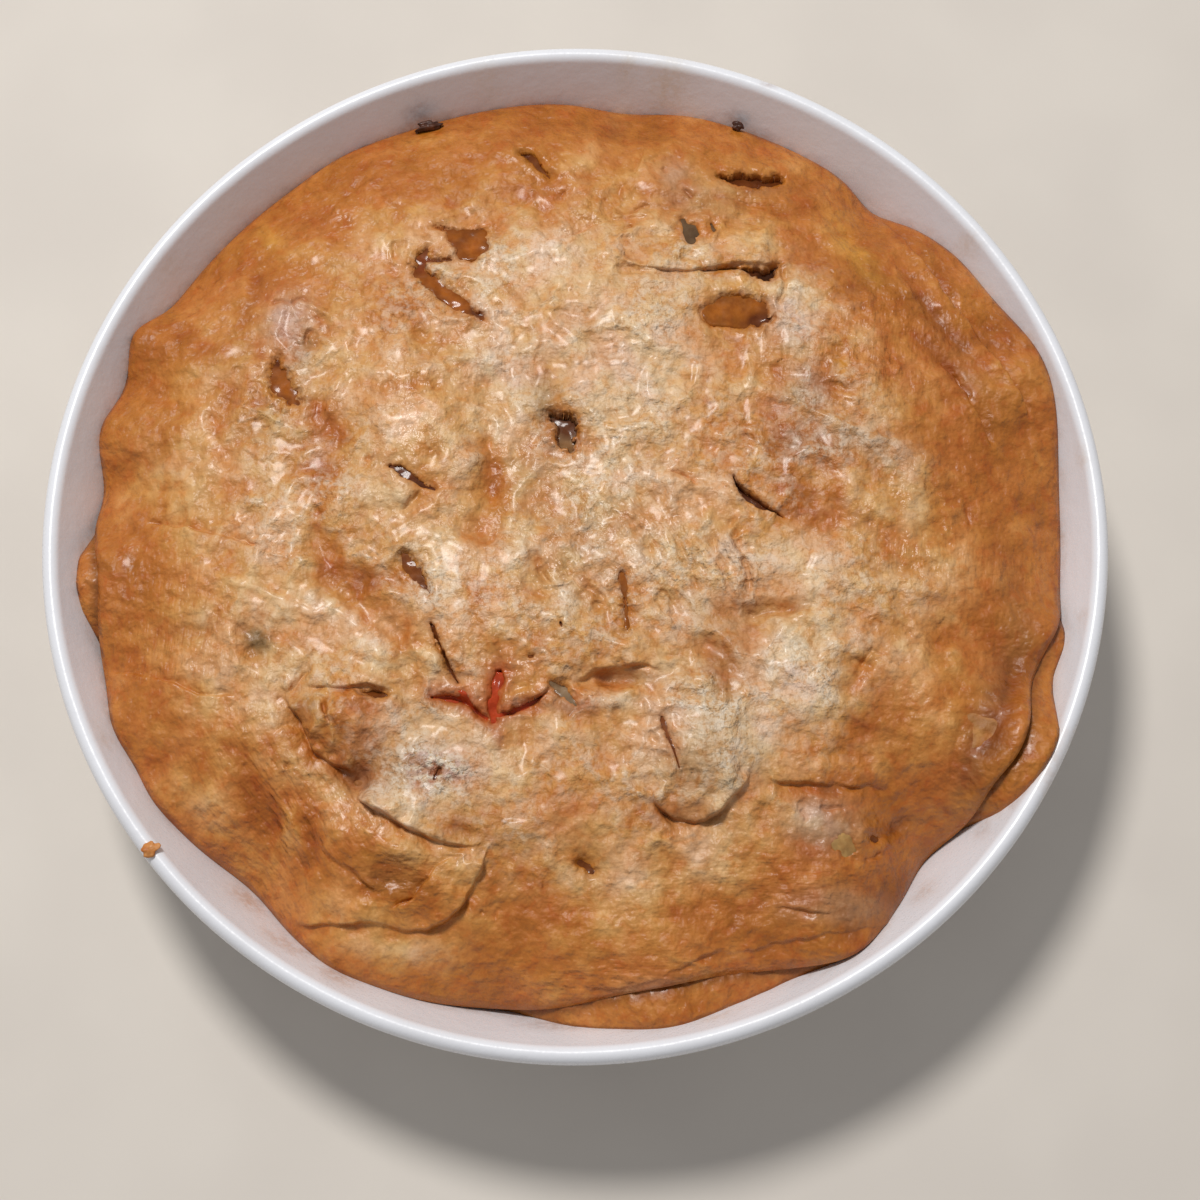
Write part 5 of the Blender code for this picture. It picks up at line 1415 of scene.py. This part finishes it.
# ---- rings drawn out from a loop --------------------------------------------------------------
def ring_piece(sections, count, middle_top, middle_bottom):
    """A closed turned body: a disc whose rim is extruded through each section and closed again."""
    deselect()
    bpy.ops.mesh.primitive_circle_add(vertices=count, radius=1.0, fill_type="TRIFAN")
    body = bpy.context.active_object
    draw_rings(len(sections) - 1, 1.0)
    points = places(body.data) * MM
    layer = np.rint(points[:, 2]).astype(int)
    around = np.degrees(np.arctan2(points[:, 1], points[:, 0])) % 360.0
    at_middle = np.hypot(points[:, 0], points[:, 1]) < 0.01
    placed = np.zeros_like(points)
    for index, (radii, heights) in enumerate(sections):
        here = (layer == index) & ~at_middle
        angle = np.radians(around[here])
        radius, height = radii(around[here]), heights(around[here])
        placed[here] = np.stack([radius * np.cos(angle), radius * np.sin(angle), height], 1)
    placed[at_middle & (layer == 0), 2] = middle_bottom
    placed[at_middle & (layer > 0), 2] = middle_top
    set_places(body.data, placed)
    face_outwards()
    return body


def rim_crest(degrees):
    crest = wall_height(outline_radius(degrees) + GAP) - 2.6 + 4.1 * rim_shows(degrees)
    rough = rim_shows(degrees) * (0.35 * lumps(degrees * 2.0, degrees * 0, 5.0, 91, 2) - 0.2)
    return crest + rough


def shelf_radius(degrees):
    return outline_radius(degrees) - 5.2 - 1.25 * sum_of_lobes(degrees, LID_INSETS)


def shelf_height(degrees):
    around = np.radians(degrees)
    radius = shelf_radius(degrees)
    return lid_underside(radius * np.cos(around), radius * np.sin(around)) - 2.0


def turned(radius, height):
    """A true ring of the turned body."""
    return tuple(lambda degrees, value=value: np.full_like(degrees, value) for value in (radius, height))


def rim_strip(share):
    """A ring of the rim, from its crest at the wall (0) in to its shelf (1)."""
    def radius(degrees):
        outside = wall_radius(rim_crest(degrees)) - GAP - 1.2
        return outside + (shelf_radius(degrees) - outside) * share

    def height(degrees):
        crest, shelf, shows = rim_crest(degrees), shelf_height(degrees), rim_shows(degrees)
        sag = shows * math.sin(math.pi * share) * 1.7
        wrinkle = shows * (0.8 * lumps(degrees * 2.2, degrees * 0 + share * 6, 4.0, 93, 2)
                           + 0.5 * creases(degrees * 2.2, degrees * 0 + share * 5, 5.0, 95))
        wrinkle = wrinkle * math.sin(math.pi * min(share + 0.15, 1.0))
        return crest + (shelf - crest) * share + sag + wrinkle - 0.3 * share
    return radius, height


def crust_ring(bend, rise):
    """A ring of the crust's outer side, from its bend (0) up to just under the crest (1)."""
    def height(degrees):
        return bend + (rim_crest(degrees) - 2.2 - bend) * rise
    return lambda degrees: wall_radius(height(degrees)) - GAP, height


def make_bottom_crust(finish):
    floor = FLOOR_THICKNESS + GAP
    corner = wall_radius(floor) - 9.0
    bend = floor + 12.0
    low = floor + 14.0

    def halfway(degrees):
        return (low + shelf_height(degrees)) / 2

    sections = [turned(25.0, floor), turned(50.0, floor), turned(corner, floor),
                turned(wall_radius(floor + 4.2) - 3.0, floor + 4.2), turned(wall_radius(bend) - GAP, bend)]
    sections += [crust_ring(bend, rise) for rise in (0.25, 0.5, 0.75, 1.0)]
    sections.append((lambda degrees: wall_radius(rim_crest(degrees)) - GAP - 0.25,
                     lambda degrees: rim_crest(degrees) - 0.7))
    sections += [rim_strip(step * 0.08) for step in range(11)] + [rim_strip(0.9), rim_strip(1.0)]
    sections.append((lambda degrees: wall_radius(halfway(degrees)) - 4.8, halfway))
    sections += [turned(wall_radius(low) - 4.8, low), turned(corner - 4.0, floor + 4.0),
                 turned(45.0, floor + 4.0), turned(20.0, floor + 4.0)]
    body = ring_piece(sections, 540, floor + 4.0, floor)
    mesh = body.data
    points = places(mesh)
    x, y = points[:, 0], points[:, 1]
    radius, degrees = polar(x, y)
    browning = 0.93 + 0.07 * lumps(x, y, 6.0, 97, 3) + 0.05 * lumps(x, y, 2.0, 99, 2)
    browning = np.where(points[:, 2] < wall_height(radius) - 6.0, 0.55, browning)
    colour = bake_colour(browning)
    right_rim = np.exp(-(((degrees - 336.0) / 11.0) ** 2))
    colour = toward(colour, RIGHT_RIM_BROWN, 0.8 * right_rim)
    # Painted shade where the rim runs in under the lid's edge.
    shade_under_lid = ease(lid_radius(degrees) + 3.0 - radius, 0.0, 3.0)
    colour = colour * (1.0 - 0.45 * shade_under_lid)[:, None]
    paint(mesh, "baked", np.clip(colour, 0, 1))
    paint(mesh, "flour", np.zeros(len(points)))
    paint(mesh, "shine", 0.35 + 0.3 * lumps(x, y, 9.0, 101, 2))
    paint(mesh, "crumpled", 0.5 + 0.3 * lumps(x, y, 7.0, 103, 2))
    bpy.ops.object.shade_smooth()
    return as_piece("crust_bowl", "bottom_crust", finish)


# ---- filling ------------------------------------------------------------------------------------
def standing_height(x, y, names=None):
    """How high the filling stands: up in the named openings, and under the lid elsewhere."""
    gap, nearest = vent_gap(x, y, names, ragged=0.0)
    low = lid_underside(x, y) - FILLING_DROP
    lumpy = 0.26 * lumps(x, y, 2.8, 103, 2) + 0.04 * lumps(x, y, 1.0, 105, 1)
    sunk = sum(row[6] * patch(x, y, row) for row in FILLING_SPOTS)
    high = lid_face(x, y)[0] - DEPTHS[nearest] - sunk + lumpy
    up = 1.0 - ease(gap, FILLING_REACH, FILLING_REACH + FILLING_FALL)
    return low + (np.maximum(high, low) - low) * up


def filling_colours(x, y):
    gap, nearest = vent_gap(x, y, ragged=0.0)
    colour = TINTS[nearest] * (1.0 + 0.35 * lumps(x, y, 2.6, 107, 2))[:, None]
    for row in FILLING_SPOTS:
        colour = toward(colour, row[5], np.clip(1.7 * patch(x, y, row), 0.0, 1.0))
    colour = np.where((gap > 4.0)[:, None], np.array(GRAVY), colour)
    # Painted shade: depth here draws the filling darker near the openings' borders and under the lid.
    depth = np.clip(1.15 + gap / 2.2, 0.0, 1.0)
    return np.clip(colour * (1.0 - 0.22 * depth)[:, None], 0, 1)


def make_filling(finish):
    sheet = add_net((4, 9), lambda degrees: shelf_radius(degrees) - 0.6)
    refine(sheet, lambda at: vent_gap(at[:, 0], at[:, 1], ragged=0.0)[0] < 3.0)
    refine(sheet, lambda at: vent_gap(at[:, 0], at[:, 1], ragged=0.0)[0] < 2.0)
    mesh = sheet.data
    points = places(mesh)
    x, y = points[:, 0], points[:, 1]
    at_chunks = vent_gap(x, y, CARROT_VENTS + POTATO_VENTS, ragged=0.0)[0] < CHUNK_ROOM
    under_chunks = lid_underside(x, y) - FILLING_DROP - CHUNK_DEPTH
    points[:, 2] = np.where(at_chunks, under_chunks, standing_height(x, y))
    set_places(mesh, points)
    # Each ring is drawn out far below the last, so that it is known by its height alone.
    draw_rings(len(FILLING_RINGS), -0.2)
    points = places(mesh)
    radius, degrees = polar(points[:, 0], points[:, 1])
    around = np.radians(degrees)
    for index, (height, inset) in enumerate(FILLING_RINGS, 1):
        here = np.abs(points[:, 2] + 200.0 * index) < 100.0
        reach = np.where(radius < 5.0, 0.0, wall_radius(height) - inset)
        points[here, 0] = (reach * np.cos(around))[here]
        points[here, 1] = (reach * np.sin(around))[here]
        points[here, 2] = height
    set_places(mesh, points)
    face_outwards()
    points = places(mesh)
    paint(mesh, "baked", filling_colours(points[:, 0], points[:, 1]))
    bpy.ops.object.shade_smooth()
    return as_piece("gravy_filling", "filling", finish)


def make_chunk(name, node, at, size, turn, names, tint, finish):
    """A cut cube of vegetable with softened edges, standing up a little in its openings."""
    deselect()
    top = float(lid_underside(np.array([at[0]]), np.array([at[1]]))[0]) - 1.8
    middle = (at[0] * MM, at[1] * MM, (top - size[2] / 2) * MM)
    bpy.ops.mesh.primitive_cube_add(size=1.0, location=middle, rotation=(0, 0, math.radians(turn)))
    chunk = bpy.context.active_object
    chunk.scale = [side * MM for side in size]
    bpy.ops.object.transform_apply(location=True, rotation=True, scale=True)
    edit("EDGE")
    bpy.ops.mesh.select_all(action="SELECT")
    bpy.ops.mesh.bevel(offset=1.6 * MM, segments=3)
    bpy.ops.mesh.select_all(action="SELECT")
    bpy.ops.mesh.quads_convert_to_tris(quad_method="BEAUTY", ngon_method="BEAUTY")
    bpy.ops.mesh.select_all(action="SELECT")
    bpy.ops.mesh.subdivide(number_cuts=5)
    bpy.ops.mesh.subdivide(number_cuts=3)
    to_object()
    points = places(chunk.data)
    x, y = points[:, 0], points[:, 1]
    height = standing_height(x, y, names)
    on_top = ease(points[:, 2], top - 2.2, top - 0.2)
    lowest = points[:, 2].min()
    points[:, 2] = points[:, 2] + (height - points[:, 2]) * on_top
    points[:, 2] = np.maximum(points[:, 2], lowest)
    set_places(chunk.data, points)
    colour = np.array(tint) * (1.0 + 0.3 * lumps(x, y, 1.8, 109, 2))[:, None]
    paint(chunk.data, "baked", np.clip(colour, 0, 1))
    bpy.ops.object.shade_smooth()
    return as_piece(name, node, finish)


# ---- loose bits -----------------------------------------------------------------------------------
def make_bit(name, at, size, turn, browning, seed, finish):
    """A crumb of pastry: a small ball pulled out of round."""
    deselect()
    bpy.ops.mesh.primitive_ico_sphere_add(subdivisions=4, radius=0.5 * MM)
    bit = bpy.context.active_object
    points = places(bit.data)
    reach = 1.0 + 0.5 * lumps(points[:, 0] * 9, points[:, 1] * 9 + points[:, 2] * 4, 3.0, seed, 2)
    points = points * reach[:, None] * np.array(size)
    cos, sin = math.cos(math.radians(turn)), math.sin(math.radians(turn))
    x = points[:, 0] * cos - points[:, 1] * sin + at[0]
    y = points[:, 0] * sin + points[:, 1] * cos + at[1]
    points = np.stack([x, y, points[:, 2] + at[2]], 1)
    set_places(bit.data, points)
    colour = bake_colour(browning + 0.12 * lumps(points[:, 0], points[:, 1], 1.2, seed, 2))
    paint(bit.data, "baked", np.clip(colour, 0, 1))
    paint(bit.data, "flour", np.zeros(len(points)))
    paint(bit.data, "shine", np.full(len(points), 0.2))
    bpy.ops.object.shade_smooth()
    return as_piece(name, None, finish)


# ---- room, light and camera ---------------------------------------------------------------------
def make_floor():
    deselect()
    bpy.ops.mesh.primitive_plane_add(size=6.0, location=(0, 0, -0.0002))
    floor = bpy.context.active_object
    floor.name = "floor"
    finish = Finish("pale_board", 0.65)
    cloudy = finish.step(finish.noise(60.0, 2.0), 0.3, 0.7)
    finish.colour(finish.mix(cloudy, (0.70, 0.65, 0.585), (0.66, 0.61, 0.55)))
    floor.data.materials.append(finish.material)


KEY_FROM = (-0.20, 0.40, 0.89)
KEY_DISTANCE, KEY_SIZE, KEY_POWER = 2.0, 0.40, 28.0
ROOM_LIGHT = 0.33
CAMERA_AT = (0.0059, -0.1782, 0.5917)
CAMERA_TILT = 16.36
CAMERA_LENS = 72.0


def make_light():
    lamp = bpy.data.lights.new("ceiling_lamp", "AREA")
    lamp.shape = "DISK"
    lamp.size = KEY_SIZE
    lamp.energy = KEY_POWER
    lamp.color = (1.0, 0.975, 0.95)
    key = add_object("ceiling_lamp", lamp)
    direction = Vector(KEY_FROM).normalized()
    key.location = direction * KEY_DISTANCE
    key.rotation_euler = direction.to_track_quat("Z", "Y").to_euler()
    world = bpy.data.worlds.new("pale_room")
    world.use_nodes = True
    world.node_tree.nodes["Background"].inputs["Color"].default_value = (0.98, 0.98, 1.0, 1.0)
    world.node_tree.nodes["Background"].inputs["Strength"].default_value = ROOM_LIGHT
    bpy.context.scene.world = world


def make_camera():
    lens = bpy.data.cameras.new("camera")
    lens.lens = CAMERA_LENS
    lens.sensor_width = 36.0
    lens.clip_start = 0.01
    camera = add_object("camera", lens)
    camera.location = CAMERA_AT
    camera.rotation_euler = (math.radians(CAMERA_TILT), 0.0, 0.0)
    bpy.context.scene.camera = camera
    bpy.context.scene.view_settings.view_transform = "Standard"
    bpy.context.scene.view_settings.look = "None"


def main():
    make_camera()
    make_light()
    make_floor()
    pastry = pastry_finish("baked_pastry")
    make_dish()
    make_bottom_crust(pastry)
    make_top_crust(pastry)
    make_filling(wet_finish("beef_gravy"))
    make_chunk("carrot_piece", "carrot", CARROT_AT, CARROT_SIZE, CARROT_TURN, CARROT_VENTS, CARROT_RED,
               wet_finish("cooked_carrot", 0.10))
    make_chunk("potato_piece", "potato", POTATO_AT, POTATO_SIZE, POTATO_TURN, POTATO_VENTS, POTATO_SKIN,
               wet_finish("cooked_potato", 0.22))
    make_bit("rim_crumb", (-96.6, -78.6, 50.3), (4.2, 2.8, 1.4), 35, 0.86, 7, pastry)
    make_bit("burnt_bit_left", (-37.6, 108.6, 41.5), (6.6, 2.6, 2.4), 12, 1.45, 11, pastry)
    make_bit("burnt_bit_right", (40.7, 108.9, 40.9), (3.0, 2.4, 2.4), -20, 1.45, 13, pastry)


main()
